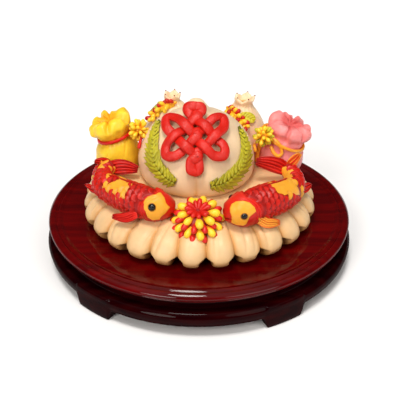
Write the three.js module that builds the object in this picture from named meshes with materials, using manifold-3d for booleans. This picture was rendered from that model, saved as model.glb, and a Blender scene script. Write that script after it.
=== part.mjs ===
// A steamed longevity peach centrepiece: a petalled wheat-dough base bun that carries a peach, two
// crowned pomegranates, two tied money bags, two koi, flowers, leaves and a red endless knot, all on
// a round lacquered wooden stand. Millimetres, +Z up, the front faces -Y, and the origin is on the
// floor under the middle of the stand.
import * as THREE from 'three';
import { mergeVertices } from 'three/addons/utils/BufferGeometryUtils.js';
import Module from 'manifold-3d';

const wasm = await Module();
wasm.setup();

// ---------------------------------------------------------------- driving dimensions
const GAP = 0.35; // clearance left between pieces that touch
const TRIM = 0.18; // features smaller than this, left by cuts, are smoothed away
const FULL_TURN = Math.PI * 2;

const STAND = {
  boardTop: 49, // flat top of the round board
  boardThick: 8,
  boardRadius: 171.5,
  boardSides: 44,
  waistSides: 36,
  waistRadius: 161.5,
  apronTop: 29,
  legs: 5,
  firstLeg: THREE.MathUtils.degToRad(-58.5), // direction of the leg at the front right
  legHalfAngle: THREE.MathUtils.degToRad(7),
  apronBottom: 13.5,
};
// a leg's outline round the stand: share of its half angle, share of its full depth
const LEG_OUTLINE = [
  [-1.3, 0], [-1.12, 0.4], [-1, 1], [-0.4, 1], [0.4, 1], [1, 1], [1.12, 0.4], [1.3, 0],
];
const SPANS_BETWEEN_LEGS = 6;

const BASE = {
  petals: 26,
  firstNotch: THREE.MathUtils.degToRad(-86.4), // notch just right of the front
  sidesPerPetal: 5,
  bulge: 3, // power that rounds a petal between its two notches
  top: 88.5,
};
// radius, height and depth of the crease between petals, from the foot to the top
const BASE_PROFILE = [
  [116, STAND.boardTop + GAP, 11],
  [127, 55, 15],
  [131, 62, 12],
  [128, 71, 8],
  [120.5, 79.5, 6],
  [109, 85, 4.5],
  [94, BASE.top, 1],
];

const PEACH = { x: -2.8, y: 17, sides: 24, backDepth: 0.9, cleft: 3.2 };
const PEACH_PROFILE = [
  [40, 86], [58, 87.5], [64, 94], [65.8, 103], [65, 114], [61, 126], [54.5, 138],
  [46, 148], [35, 156], [24, 161.5], [16, 166.5], [11.5, 172], [7, 177.5],
];
const PEACH_TIP = 180;

const POMEGRANATE_FOOT = 81;
const POMEGRANATE_LEFT = { x: -32, y: 84, lean: 0.5, girth: 35, crown: 9.8, top: 156 };
const POMEGRANATE_RIGHT = { x: 46, y: 84, lean: 8, girth: 34, crown: 12, top: 152 };
// share of the girth and share of the height, from the foot to the neck
const POMEGRANATE_PROFILE = [
  [0.6, 0], [0.93, 0.12], [1, 0.26], [0.95, 0.4], [0.82, 0.54], [0.62, 0.68], [0.42, 0.8],
];
const CROWN = { points: 5, ripple: 1.6, neckBelowTop: 9, rimBelowTop: 2, hollow: 7 };

// each knob of a bag's gathered mouth: direction and reach in degrees, millimetres out and up
const BAG_YELLOW = {
  x: -93.5, y: 40, girth: 25.4, neck: 18, top: 22.5, band: 43, lean: -2.3, tilt: -0.34,
  knobs: [[15, 32, 2, 5], [75, 20, 1, 1], [110, 20, 2, 4], [150, 22, 2.5, 2.5], [190, 20, 4.5, 0],
    [238, 24, 2.5, 3], [300, 35, 0, 1.5]],
};
const BAG_PINK = {
  x: 92.3, y: 43, girth: 28.6, neck: 23.5, top: 23.5, band: 36.5, lean: 4.5, tilt: 0.42,
  knobs: [[142, 28, 2.5, 3.5], [95, 22, 2, 3.5], [55, 22, 2, 5], [12, 24, 4, 3.5], [335, 24, 4.5, 3.5],
    [290, 24, 1, 1.5], [235, 26, 0, 0.5]],
};
// height (0 at the foot, 1 at the band, 2 at the top), share of the radius it follows, knob share
const BAG_PROFILE = [
  [0, 'girth', 0.75, 0], [0.13, 'girth', 0.96, 0], [0.33, 'girth', 1, 0], [0.55, 'girth', 0.98, 0],
  [0.8, 'girth', 0.88, 0], [1, 'neck', 1, 0.05], [1.27, 'top', 0.92, 0.35], [1.6, 'top', 1.03, 0.75],
  [1.92, 'top', 0.92, 1], [2, 'top', 0.62, 0.9], [1.7, 'top', 0.3, 0.3],
];
const BAG = { foot: 82, sides: 18, mouth: 18.5, floor: 1.65 };
const BAND = { radius: 1.9, sections: 16 };

// centre line of each koi from the mouth to the root of the tail
const KOI_LEFT = {
  line: [[-29, -79.5, 98], [-37, -81, 101], [-46, -81, 103], [-63, -72.5, 103], [-85, -53, 101],
    [-101, -35, 98.5], [-106.5, -17, 97.5], [-105.5, -2, 100], [-98.5, 4.5, 103]],
  girths: [8.5, 13.5, 16.6, 17.2, 16.2, 13.6, 11.8, 10.4, 8.4],
  tails: [
    { line: [[-99, 4, 103], [-106, 3, 108], [-116, 1, 110.5]], width: 5.5 },
    { line: [[-100, 4, 101], [-91, 2, 102.5], [-81, 1, 102.5], [-69, 0, 100.5]], width: 9 },
  ],
  frontFin: { line: [[-64, -90, 97.5], [-76, -89, 92.5], [-90, -83, 90]], width: 5.5 },
  sideFin: { line: [[-111, -31, 92], [-118, -25, 90], [-125, -15, 89.5]], width: 4.5 },
  eyes: [{ at: 1.97, out: -0.88, up: 0.38 }, { at: 2.1, out: 0.86, up: 0.3 }],
};
const KOI_RIGHT = {
  line: [[29, -92, 100.5], [37, -91.5, 102], [46, -89.5, 103], [66.5, -77, 103.5], [86, -61, 101.5],
    [99, -43, 99], [104, -24, 98], [102.5, -12, 100], [98, -4, 103.5]],
  girths: [9.5, 14.5, 17.6, 18, 16.8, 14.2, 12, 10.4, 8.6],
  tails: [
    { line: [[99, -5, 102], [90, -6, 107.5], [77, -6, 111.5], [64, -5, 113.5]], width: 9 },
    { line: [[99, -5, 104], [105, -4, 113], [112, -2, 121]], width: 6 },
  ],
  frontFin: { line: [[61, -95, 95], [71, -95, 90], [84, -89, 86.5]], width: 6, yellow: true },
  sideFin: { line: [[111, -31, 93], [117, -25, 91], [124, -16, 90]], width: 6 },
  eyes: [{ at: 1.05, out: -0.6, up: 0.7 }, { at: 1.67, out: 0.88, up: 0.14 }],
};
// girths: half height at each point of the line; eyes: place on the line, shares of the girth
const KOI = { sides: 10, steps: 15, slim: 0.93, snout: 3, tailThick: 4, finThick: 2.2, eye: 4 };

const FLOWER = { x: -0.8, y: -90, z: 87, lean: 0.26, core: 19, petal: 4.1 };
// for each row: polar angle of the roots, polar angle that the petals point to, number and length
const FLOWER_ROWS = [
  [0.15, 0.8, 5, 9.5], [0.55, 1.15, 7, 12.5], [0.9, 1.45, 9, 13], [1.25, 1.75, 10, 13],
  [1.6, 2.05, 9, 12],
];

// A viewer in front looks down on the middle of the centrepiece. Toppings are placed by where they
// show to the viewer: millimetres across and up in the plane through AIM that faces the viewer.
const AIM = new THREE.Vector3(1.2, 0, 60.4);
const VIEW_ELEVATION = THREE.MathUtils.degToRad(30.96);
const VIEW_DISTANCE = 1050;
const MIDDLE_UP = 60;

const KNOT = {
  across: -5.5,
  up: 69.5,
  pitch: 14.3, // between neighbouring strands
  halfWidth: 5.6, // of the flattened rope
  halfHeight: 3.2,
  sides: 6,
  sideLoop: 1.9, // reach of the side loops and the ears, in pitches
  ear: 1.5,
};
const FERN_LEFT = [[-27.5, 20.6], [-36.6, 25.2], [-48.1, 36.6], [-53.5, 50.3], [-53.9, 65.2],
  [-50.3, 78.9], [-44.6, 90.4]];
const FERN_RIGHT = [[11.4, 17.2], [24, 19.5], [37.8, 28.6], [48, 40], [52, 53.8], [50.5, 67.5],
  [43.5, 83.5]];
const FERN = { leaflets: 9, width: 9.4, thick: 2.2, lift: 1.25, crown: 1.3 };
const SMALL_LEAF_LEFT = { from: [-56, 98], to: [-38.5, 108], width: 5.6 };
const SMALL_LEAF_RIGHT = { from: [45, 95], to: [61, 90], width: 6.5 };
const SMALL_LEAF = { steps: 6, thick: 1.8, lift: 1.2 };

const PETAL_ROOT = 0.85; // share of a flower's core at which its petals start
const ROW_TURN = 0.37; // turn of each row of petals past the one before
const BLOSSOM_ROWS = [[0.3, 0.7, 4, 7], [0.9, 1.45, 7, 7.5]];
const BLOSSOM = { core: 5, petal: 2.4, plain: true };
// the blossoms near the peak are sprays: a stem with petals on both sides
const SPRAY_LEFT = [[-29, 113], [-38, 108], [-47, 100], [-53, 92]];
const SPRAY_RIGHT = [[33, 104], [39, 99], [45, 92], [51.5, 83.5]];
const SPRAY = { stem: 1.9, grains: 10, length: 7.5, radius: 2.4, slant: 0.9, rise: 0.5 };
// radius and line of each ribbon end, as the viewer sees it
const RIBBON = { sides: 5, stepsPerPoint: 2 };
const RIBBONS_RED = [
  { radius: 2.1, line: [[-77.5, 79.5], [-77.3, 75], [-77.3, 70.5]] },
  { radius: 1.8, line: [[-72.5, 76.5], [-69.5, 68.5], [-67.5, 59.5]] },
];
const RIBBONS_ORANGE = [
  { radius: 2.3, line: [[71, 64], [68.5, 55], [67, 46]] },
  { radius: 2, line: [[79, 70.4], [84.5, 68.5], [90, 64.5], [93, 59], [93.2, 53.5], [89.5, 50.5],
    [85, 54], [82.3, 60.5]] },
  { radius: 1.7, line: [[65, 63.5], [62, 60], [61, 56]] },
];
const BAG_BLOSSOMS = {
  left: { at: [-67.5, 24, 137.5], facing: [0.3, -0.8, 0.5] },
  right: { at: [73, 21, 131.5], facing: [-0.3, -0.8, 0.5] },
};

// ---------------------------------------------------------------- materials
function finish(color, roughness) {
  return new THREE.MeshStandardMaterial({ color, roughness, metalness: 0 });
}
const LACQUER = finish(0x5a0a0c, 0.18);
const CREAM_DOUGH = finish(0xf3d6a4, 0.5);
const RED_DOUGH = finish(0xdc3526, 0.45);
const YELLOW_DOUGH = finish(0xf7c31c, 0.45);
const PINK_DOUGH = finish(0xef6f72, 0.45);
const GREEN_DOUGH = finish(0xb4b425, 0.5);
const BLACK_BEAD = finish(0x120a08, 0.15);

// ---------------------------------------------------------------- geometry helpers
function vec([x, y, z]) {
  return new THREE.Vector3(x, y, z);
}

function signedVolume(geometry) {
  const at = geometry.getAttribute('position');
  const index = geometry.getIndex();
  const corners = [new THREE.Vector3(), new THREE.Vector3(), new THREE.Vector3()];
  let total = 0;
  for (let i = 0; i < index.count; i += 3) {
    corners.forEach((corner, k) => corner.fromBufferAttribute(at, index.getX(i + k)));
    total += corners[0].dot(corners[1].clone().cross(corners[2])) / 6;
  }
  return total;
}

/** Turns the faces of a closed geometry outwards. */
function facingOut(geometry) {
  if (signedVolume(geometry) < 0) {
    const index = geometry.getIndex();
    for (let i = 0; i < index.count; i += 3) {
      const second = index.getX(i + 1);
      index.setX(i + 1, index.getX(i + 2));
      index.setX(i + 2, second);
    }
  }
  return geometry;
}

/** A closed skin over rings of points, drawn together at a first and a last point, or in a loop. */
function skin(rings, first, last) {
  const count = rings[0].length;
  const points = rings.flat();
  const index = [];
  const isLoop = first === undefined;
  const bands = isLoop ? rings.length : rings.length - 1;
  for (let i = 0; i < bands; i += 1) {
    const here = i * count;
    const next = ((i + 1) % rings.length) * count;
    for (let j = 0; j < count; j += 1) {
      const k = (j + 1) % count;
      index.push(here + j, here + k, next + k, here + j, next + k, next + j);
    }
  }
  if (!isLoop) {
    const end = (rings.length - 1) * count;
    points.push(first, last);
    for (let j = 0; j < count; j += 1) {
      const k = (j + 1) % count;
      index.push(points.length - 2, k, j, points.length - 1, end + j, end + k);
    }
  }
  const geometry = new THREE.BufferGeometry().setFromPoints(points);
  geometry.setIndex(index);
  return facingOut(geometry);
}

/** Merges a three.js geometry's doubled vertices, so that it is one closed surface. */
function merged(geometry) {
  geometry.deleteAttribute('normal');
  geometry.deleteAttribute('uv');
  return facingOut(mergeVertices(geometry, 1e-4));
}

function toSolid(geometry) {
  const vertProperties = new Float32Array(geometry.getAttribute('position').array);
  const triVerts = new Uint32Array(geometry.getIndex().array);
  return new wasm.Manifold(new wasm.Mesh({ numProp: 3, vertProperties, triVerts }));
}

function toGeometry(solid) {
  const mesh = solid.getMesh();
  const geometry = new THREE.BufferGeometry();
  geometry.setAttribute('position', new THREE.BufferAttribute(mesh.vertProperties, 3));
  geometry.setIndex(new THREE.BufferAttribute(mesh.triVerts, 1));
  return geometry;
}

/** The same shape with its skin moved outwards by the clearance. */
function grown(geometry, by = GAP) {
  const copy = geometry.clone();
  copy.computeVertexNormals();
  const at = copy.getAttribute('position');
  const normals = copy.getAttribute('normal');
  const point = new THREE.Vector3();
  const normal = new THREE.Vector3();
  for (let i = 0; i < at.count; i += 1) {
    point.fromBufferAttribute(at, i).addScaledVector(normal.fromBufferAttribute(normals, i), by);
    at.setXYZ(i, point.x, point.y, point.z);
  }
  copy.deleteAttribute('normal');
  return copy;
}

/** The largest body of a solid, without the scraps that a cut leaves. */
function largestBody(solid) {
  return solid.decompose().sort((a, b) => b.volume() - a.volume())[0];
}

/** Cuts a piece so that it rests against its neighbours with the clearance between them. */
function fitted(geometry, neighbours) {
  let solid = toSolid(geometry);
  neighbours.forEach((neighbour) => {
    solid = solid.subtract(toSolid(grown(neighbour)));
  });
  return toGeometry(largestBody(solid.simplify(TRIM)));
}

function fused(geometries) {
  return geometries.map(toSolid).reduce((whole, piece) => whole.add(piece));
}

/** A ring of points round a centre, from a function of the angle. */
function ring(sides, pointAt) {
  return Array.from({ length: sides }, (_, j) => pointAt((j / sides) * FULL_TURN, j));
}

/** A round rope along points, closed at both ends. */
function rope(points, radius, sides, steps) {
  const outline = ring(sides, (a) => new THREE.Vector2(radius * Math.cos(a), radius * Math.sin(a)));
  const extrudePath = new THREE.CatmullRomCurve3(points, false, 'centripetal');
  return merged(new THREE.ExtrudeGeometry(new THREE.Shape(outline), { steps, extrudePath }));
}

/** A blade of dough along a line: flat, rounded and pointed at its tip. */
function blade(line, width, thick, across, steps = 5) {
  const curve = new THREE.CatmullRomCurve3(line.map(vec));
  const rings = Array.from({ length: steps }, (_, i) => {
    const t = (i + 0.15) / (steps - 0.35);
    const spread = width * Math.sin(Math.PI * (0.22 + 0.74 * t)) ** 0.8;
    const centre = curve.getPoint(t);
    const tangent = curve.getTangent(t);
    const flat = tangent.clone().cross(across).normalize();
    const side = flat.clone().cross(tangent).normalize();
    return ring(6, (a) => centre.clone()
      .addScaledVector(side, spread * Math.cos(a))
      .addScaledVector(flat, (thick / 2) * Math.sin(a)));
  });
  return skin(rings, curve.getPoint(0), curve.getPoint(1));
}

/** A grain-shaped petal that points away from a centre; a plain one has a single ring. */
function grain(root, direction, length, radius, plain) {
  const turn = new THREE.Quaternion().setFromUnitVectors(new THREE.Vector3(0, 0, 1), direction);
  const place = (x, y, z) => new THREE.Vector3(x, y, z).applyQuaternion(turn).add(root);
  const outline = plain ? [[0.6, 1]] : [[0.35, 0.8], [0.8, 1]];
  const rings = outline.map(([along, share]) => ring(4, (a) => place(
    radius * share * Math.cos(a),
    radius * share * Math.sin(a),
    length * along,
  )));
  return skin(rings, place(0, 0, 0), place(0, 0, length));
}

/** A pompon flower: rows of grain-shaped petals fused to a round core. */
function pompon(centre, axis, { core, petal, plain = false }, rows) {
  const turn = new THREE.Quaternion().setFromUnitVectors(new THREE.Vector3(0, 0, 1), axis);
  const towards = (polar, angle) => new THREE.Vector3(
    Math.sin(polar) * Math.cos(angle),
    Math.sin(polar) * Math.sin(angle),
    Math.cos(polar),
  ).applyQuaternion(turn);
  const middle = merged(new THREE.SphereGeometry(core, 8, plain ? 4 : 6));
  middle.translate(centre.x, centre.y, centre.z);
  const petals = rows.flatMap(([rootPolar, tipPolar, count, length], row) => ring(count, (a) => {
    const angle = a + row * ROW_TURN;
    const root = centre.clone().addScaledVector(towards(rootPolar, angle), core * PETAL_ROOT);
    return grain(root, towards(tipPolar, angle), length, petal, plain);
  }));
  return toGeometry(fused([middle, ...petals]).simplify(plain ? TRIM : 4 * TRIM));
}

const VIEWER = AIM.clone().add(new THREE.Vector3(
  0,
  -VIEW_DISTANCE * Math.cos(VIEW_ELEVATION),
  VIEW_DISTANCE * Math.sin(VIEW_ELEVATION),
));
const VIEW_UP = new THREE.Vector3(0, Math.sin(VIEW_ELEVATION), Math.cos(VIEW_ELEVATION));

/** Where the viewer's line of sight through a spot of the aim plane first meets the carriers. A
 * spot just past their outline is drawn in towards their middle until it meets them. */
function seenOn(carriers, across, up) {
  const sight = new THREE.Raycaster();
  for (let pull = 0; pull < 0.5; pull += 0.02) {
    const through = AIM.clone().addScaledVector(VIEW_UP, up * (1 - pull) + MIDDLE_UP * pull);
    through.x += across * (1 - pull);
    sight.set(VIEWER, through.sub(VIEWER).normalize());
    const [hit] = sight.intersectObjects(carriers);
    if (hit) return { point: hit.point, normal: hit.face.normal.clone() };
  }
  throw new Error(`nothing is seen at ${across}, ${up}`);
}

function carrier(geometry) {
  return new THREE.Mesh(geometry, CREAM_DOUGH);
}

// ---------------------------------------------------------------- the stand
function standBoard() {
  const r = STAND.boardRadius;
  const z = STAND.boardTop;
  const bottom = z - STAND.boardThick;
  const profile = [
    [0, bottom], [r - 13, bottom], [r - 4, bottom + 1.5], [r, z - 3], [r - 2.5, z + 0.6],
    [r - 6.5, z + 2], [r - 9.5, z + 0.5], [r - 13, z + 2], [r - 17, z], [0, z],
  ].map(([x, y]) => new THREE.Vector2(x, y));
  return merged(new THREE.LatheGeometry(profile, STAND.boardSides).rotateX(Math.PI / 2));
}

function standWaist() {
  const r = STAND.waistRadius;
  const top = STAND.boardTop - STAND.boardThick - GAP;
  const bottom = STAND.apronTop + GAP;
  const profile = [
    [r - 11.5, bottom], [r, bottom], [r - 2.5, (bottom + top) / 2], [r, top], [r - 11.5, top],
    [r - 11.5, bottom],
  ].map(([x, y]) => new THREE.Vector2(x, y));
  return merged(new THREE.LatheGeometry(profile, STAND.waistSides).rotateX(Math.PI / 2));
}

/** Directions round the apron, close together at the edges of the legs, and how much leg is there. */
function apronStations() {
  const pitch = FULL_TURN / STAND.legs;
  const half = STAND.legHalfAngle;
  const leg = LEG_OUTLINE.map(([share, amount]) => ({ angle: share * half, amount }));
  const start = leg[leg.length - 1].angle;
  const between = Array.from({ length: SPANS_BETWEEN_LEGS - 1 }, (_, i) => ({
    angle: start + ((pitch - 2 * start) * (i + 1)) / SPANS_BETWEEN_LEGS,
    amount: 0,
  }));
  return Array.from({ length: STAND.legs }, (_, n) => [...leg, ...between].map((station) => ({
    angle: STAND.firstLeg + n * pitch + station.angle,
    amount: station.amount,
  }))).flat();
}

function standApron() {
  const top = STAND.apronTop;
  const bottom = STAND.apronBottom;
  const rings = apronStations().map(({ angle, amount }) => {
    const foot = bottom * (1 - amount);
    return [
      [158, top], [166, top], [171.2 + 2.2 * amount, top - 2], [173.6, top - 8],
      [172.4 + amount, bottom * (1 - 0.6 * amount)], [171.4, foot], [159.5, foot],
    ].map(([r, z]) => new THREE.Vector3(r * Math.cos(angle), r * Math.sin(angle), z));
  });
  return skin(rings);
}

// ---------------------------------------------------------------- the plain buns
/** Rings over a profile of radius, height and crease depth, where the crease is cut square to it. */
function petalledRings(profile, sides, creaseAt) {
  return profile.map(([radius, height, depth], i) => {
    const [r0, z0] = profile[Math.max(i - 1, 0)];
    const [r1, z1] = profile[Math.min(i + 1, profile.length - 1)];
    const outward = new THREE.Vector2(z1 - z0, r0 - r1).normalize();
    return ring(sides, (a, j) => {
      const cut = depth * creaseAt(j);
      const r = radius - outward.x * cut;
      const angle = a + BASE.firstNotch;
      return new THREE.Vector3(r * Math.cos(angle), r * Math.sin(angle), height - outward.y * cut);
    });
  });
}

function baseBun() {
  const creaseAt = (j) => Math.abs(1 - (2 * (j % BASE.sidesPerPetal)) / BASE.sidesPerPetal) ** BASE.bulge;
  const rings = petalledRings(BASE_PROFILE, BASE.petals * BASE.sidesPerPetal, creaseAt);
  const foot = new THREE.Vector3(0, 0, BASE_PROFILE[0][1]);
  return skin(rings, foot, new THREE.Vector3(0, 0, BASE.top));
}

function peachBun() {
  const rings = PEACH_PROFILE.map(([radius, height]) => ring(PEACH.sides, (a, j) => {
    const angle = a - Math.PI / 2;
    const cleft = j === 0 ? PEACH.cleft : 0;
    const depth = Math.sin(angle) > 0 ? PEACH.backDepth : 1;
    const r = radius - cleft * Math.min(1, radius / 20);
    return new THREE.Vector3(
      PEACH.x + r * Math.cos(angle),
      PEACH.y + r * Math.sin(angle) * depth,
      height,
    );
  }));
  const foot = new THREE.Vector3(PEACH.x, PEACH.y, PEACH_PROFILE[0][1]);
  return skin(rings, foot, new THREE.Vector3(PEACH.x, PEACH.y, PEACH_TIP));
}

function pomegranate({ x, y, lean, girth, crown, top }) {
  const foot = POMEGRANATE_FOOT;
  const rim = top - CROWN.rimBelowTop;
  const spread = (radius, height, ripple = 0) => ring(CROWN.points * 3, (a) => {
    const rise = (height - foot) / (top - foot);
    const wave = ripple * Math.cos(CROWN.points * a);
    return new THREE.Vector3(
      x + lean * rise ** 2 + radius * Math.cos(a),
      y + radius * Math.sin(a),
      height + wave,
    );
  });
  const body = POMEGRANATE_PROFILE.map(([share, rise]) => (
    spread(girth * share, foot + (top - foot) * rise)));
  const rings = [
    ...body,
    spread(crown * 0.92, top - CROWN.neckBelowTop),
    spread(crown, rim, CROWN.ripple),
    spread(crown * 0.72, rim, CROWN.ripple),
    spread(crown * 0.45, top - CROWN.hollow),
  ];
  const floor = new THREE.Vector3(x + lean, y, top - CROWN.hollow - 0.5);
  return skin(rings, new THREE.Vector3(x, y, foot), floor);
}

// ---------------------------------------------------------------- the money bags
/** The middle of a bag and the turn of its section: at 0 its foot, at 1 its band, at 2 its top. */
function bagStation(bag, height) {
  const turn = THREE.MathUtils.smoothstep(height, 0.4, 1);
  const aboveBand = Math.max(height - 1, 0) * BAG.mouth;
  return {
    centre: new THREE.Vector3(
      bag.x + bag.lean * turn + aboveBand * Math.sin(bag.tilt),
      bag.y,
      BAG.foot + Math.min(height, 1) * bag.band + aboveBand * Math.cos(bag.tilt),
    ),
    tilt: bag.tilt * turn,
  };
}

/** How far the knobs of a bag's mouth push its rim out and up in a direction. */
function knobsAt(bag, angle) {
  const push = { out: 0, up: 0 };
  bag.knobs.forEach(([direction, reach, out, up]) => {
    const away = THREE.MathUtils.euclideanModulo(angle - direction + 180, 360) - 180;
    const weight = Math.exp(-((away / reach) ** 2));
    push.out += out * weight;
    push.up += up * weight;
  });
  return push;
}

function moneyBag(bag) {
  const rings = BAG_PROFILE.map(([height, which, share, knobShare]) => {
    const { centre, tilt } = bagStation(bag, height);
    return ring(BAG.sides, (a) => {
      const { out, up } = knobsAt(bag, THREE.MathUtils.radToDeg(a));
      const r = bag[which] * share + out * knobShare;
      return new THREE.Vector3(r * Math.cos(a), r * Math.sin(a), up * knobShare)
        .applyAxisAngle(new THREE.Vector3(0, 1, 0), tilt)
        .add(centre);
    });
  });
  const foot = new THREE.Vector3(bag.x, bag.y, BAG.foot);
  return skin(rings, foot, bagStation(bag, BAG.floor).centre);
}

function bagBand(bag) {
  const { centre, tilt } = bagStation(bag, 1);
  const reach = bag.neck + BAND.radius + 2 * GAP;
  const band = merged(new THREE.TorusGeometry(reach, BAND.radius, 4, BAND.sections));
  band.rotateY(tilt);
  return band.translate(centre.x, centre.y, centre.z);
}

/** A ribbon of dough laid on its carriers along a line that the viewer sees. */
function ribbon(carriers, { radius, line }) {
  const points = line.map(([across, up]) => {
    const { point, normal } = seenOn(carriers, across, up);
    return point.addScaledVector(normal, radius + GAP * 2);
  });
  return rope(points, radius, RIBBON.sides, line.length * RIBBON.stepsPerPoint);
}

// ---------------------------------------------------------------- the koi
function koiFrame(curve, t) {
  const tangent = curve.getTangent(t);
  const side = tangent.clone().cross(new THREE.Vector3(0, 0, 1)).normalize();
  return { centre: curve.getPoint(t), side, top: side.clone().cross(tangent) };
}

function koiGirth({ girths }, t) {
  const place = t * (girths.length - 1);
  const before = Math.min(Math.floor(place), girths.length - 2);
  return THREE.MathUtils.lerp(girths[before], girths[before + 1], place - before);
}

function koiBody(koi) {
  const curve = new THREE.CatmullRomCurve3(koi.line.map(vec));
  const rings = Array.from({ length: KOI.steps }, (_, i) => {
    const t = i / (KOI.steps - 1);
    const { centre, side, top } = koiFrame(curve, t);
    const girth = koiGirth(koi, t);
    return ring(KOI.sides, (a) => centre.clone()
      .addScaledVector(side, girth * KOI.slim * Math.cos(a))
      .addScaledVector(top, girth * Math.sin(a)));
  });
  const snout = curve.getPoint(0).addScaledVector(curve.getTangent(0), -KOI.snout);
  return skin(rings, snout, curve.getPoint(1).addScaledVector(curve.getTangent(1), 2));
}

function koiWithTail(koi) {
  const lobes = koi.tails.map(({ line, width }) => blade(line, width, KOI.tailThick, VIEW_UP));
  return toGeometry(fused([koiBody(koi), ...lobes]));
}

/** Places of the two eyes, on both sides of the head. */
function koiEyes(koi) {
  const curve = new THREE.CatmullRomCurve3(koi.line.map(vec));
  return koi.eyes.map(({ at, out, up }) => {
    const t = at / (koi.line.length - 1);
    const { centre, side, top } = koiFrame(curve, t);
    const girth = koiGirth(koi, t);
    return centre.addScaledVector(side, girth * out).addScaledVector(top, girth * up);
  });
}

function bead(centre, radius) {
  return merged(new THREE.SphereGeometry(radius, 6, 5)).translate(centre.x, centre.y, centre.z);
}

// ---------------------------------------------------------------- toppings
/** A leaf laid on its carriers: two faces of the same triangles, a thin edge between them. */
function laidLeaf(carriers, midline, halfWidthAt, steps, { thick, lift, crown = 0 }) {
  const curve = new THREE.CatmullRomCurve3(midline.map(([x, y]) => new THREE.Vector3(x, y, 0)));
  const rows = Array.from({ length: steps + 1 }, (_, i) => {
    const t = i / steps;
    const middle = curve.getPoint(t);
    const tangent = curve.getTangent(t);
    const half = halfWidthAt(t, i);
    return [-1, 0, 1].map((hand) => {
      const x = middle.x - tangent.y * hand * half;
      const y = middle.y + tangent.x * hand * half;
      const { point, normal } = seenOn(carriers, x, y);
      const under = point.clone().addScaledVector(normal, lift);
      const over = under.clone().addScaledVector(normal, thick + (hand === 0 ? crown : 0));
      return { under, over };
    });
  });
  const rings = rows.map((row) => [
    ...row.map(({ over }) => over),
    ...row.map(({ under }) => under).reverse(),
  ]);
  const middleOf = ([, { over, under }]) => over.clone().lerp(under, 0.5);
  return skin(rings, middleOf(rows[0]), middleOf(rows[rows.length - 1]));
}

function fernLeaf(carriers, midline) {
  const steps = FERN.leaflets * 2;
  const halfWidthAt = (t, i) => {
    const outline = FERN.width * Math.sin(Math.PI * Math.min(0.12 + 0.86 * t, 1)) ** 0.6;
    return Math.max(outline * (i % 2 === 1 ? 1 : 0.62), 0.9);
  };
  return laidLeaf(carriers, midline, halfWidthAt, steps, FERN);
}

function smallLeaf(carriers, { from, to, width }) {
  const middle = [(from[0] + to[0]) / 2, (from[1] + to[1]) / 2 + 1.5];
  const halfWidthAt = (t) => Math.max(width * Math.sin(Math.PI * (0.06 + 0.88 * t)) ** 0.7, 0.8);
  return laidLeaf(carriers, [from, middle, to], halfWidthAt, SMALL_LEAF.steps, SMALL_LEAF);
}

/** A spray of small petals: a stem laid on its carriers with petals on alternate sides. */
function spray(carriers, line) {
  const points = line.map(([across, up]) => {
    const { point, normal } = seenOn(carriers, across, up);
    return point.addScaledVector(normal, SPRAY.stem + GAP * 2);
  });
  const stem = rope(points, SPRAY.stem, RIBBON.sides, points.length * RIBBON.stepsPerPoint);
  const curve = new THREE.CatmullRomCurve3(points);
  const petals = Array.from({ length: SPRAY.grains }, (_, i) => {
    const t = (i + 0.5) / SPRAY.grains;
    const tangent = curve.getTangent(t);
    const [x, y] = line[Math.round(t * (line.length - 1))];
    const { normal } = seenOn(carriers, x, y);
    const side = tangent.clone().cross(normal).normalize();
    const slant = i % 2 === 0 ? SPRAY.slant : -SPRAY.slant;
    const direction = tangent.multiplyScalar(Math.cos(slant))
      .addScaledVector(side, Math.sin(slant))
      .addScaledVector(normal, SPRAY.rise)
      .normalize();
    return grain(curve.getPoint(t), direction, SPRAY.length, SPRAY.radius, true);
  });
  return toGeometry(fused([stem, ...petals]));
}

/** The closed path of the endless knot: [along, across, over or under] in pitches. */
function knotPath() {
  const quarter = Math.PI / 2;
  const over = (column, row) => ((column + row) % 2 === 0 ? 1 : -1);
  const level = (row) => [-1, 0, 1].map((column) => [column, row, over(column, row)]);
  const upright = (column) => [-1, 0, 1].map((row) => [column, row, -over(column, row)]);
  const turn = (cx, cy, from, to, radius) => {
    const count = Math.round(Math.abs(to - from) / quarter) + 1;
    return Array.from({ length: count }, (_, i) => {
      const a = THREE.MathUtils.lerp(from, to, i / (count - 1));
      return [cx + radius * Math.cos(a), cy + radius * Math.sin(a), 0];
    });
  };
  const { sideLoop, ear } = KNOT;
  return [
    ...level(1),
    ...turn(ear, ear, -quarter, 2 * quarter, ear - 1),
    ...upright(1).reverse(),
    ...turn(0.5, -sideLoop, 0, -2 * quarter, 0.5),
    ...upright(0),
    ...turn(-0.5, sideLoop, 0, 2 * quarter, 0.5),
    ...upright(-1).reverse(),
    ...turn(-ear, -ear, 0, -3 * quarter, ear - 1),
    ...level(-1),
    ...turn(sideLoop, -0.5, -quarter, quarter, 0.5),
    ...level(0).reverse(),
    ...turn(-sideLoop, 0.5, -quarter, -3 * quarter, 0.5),
  ];
}

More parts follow.
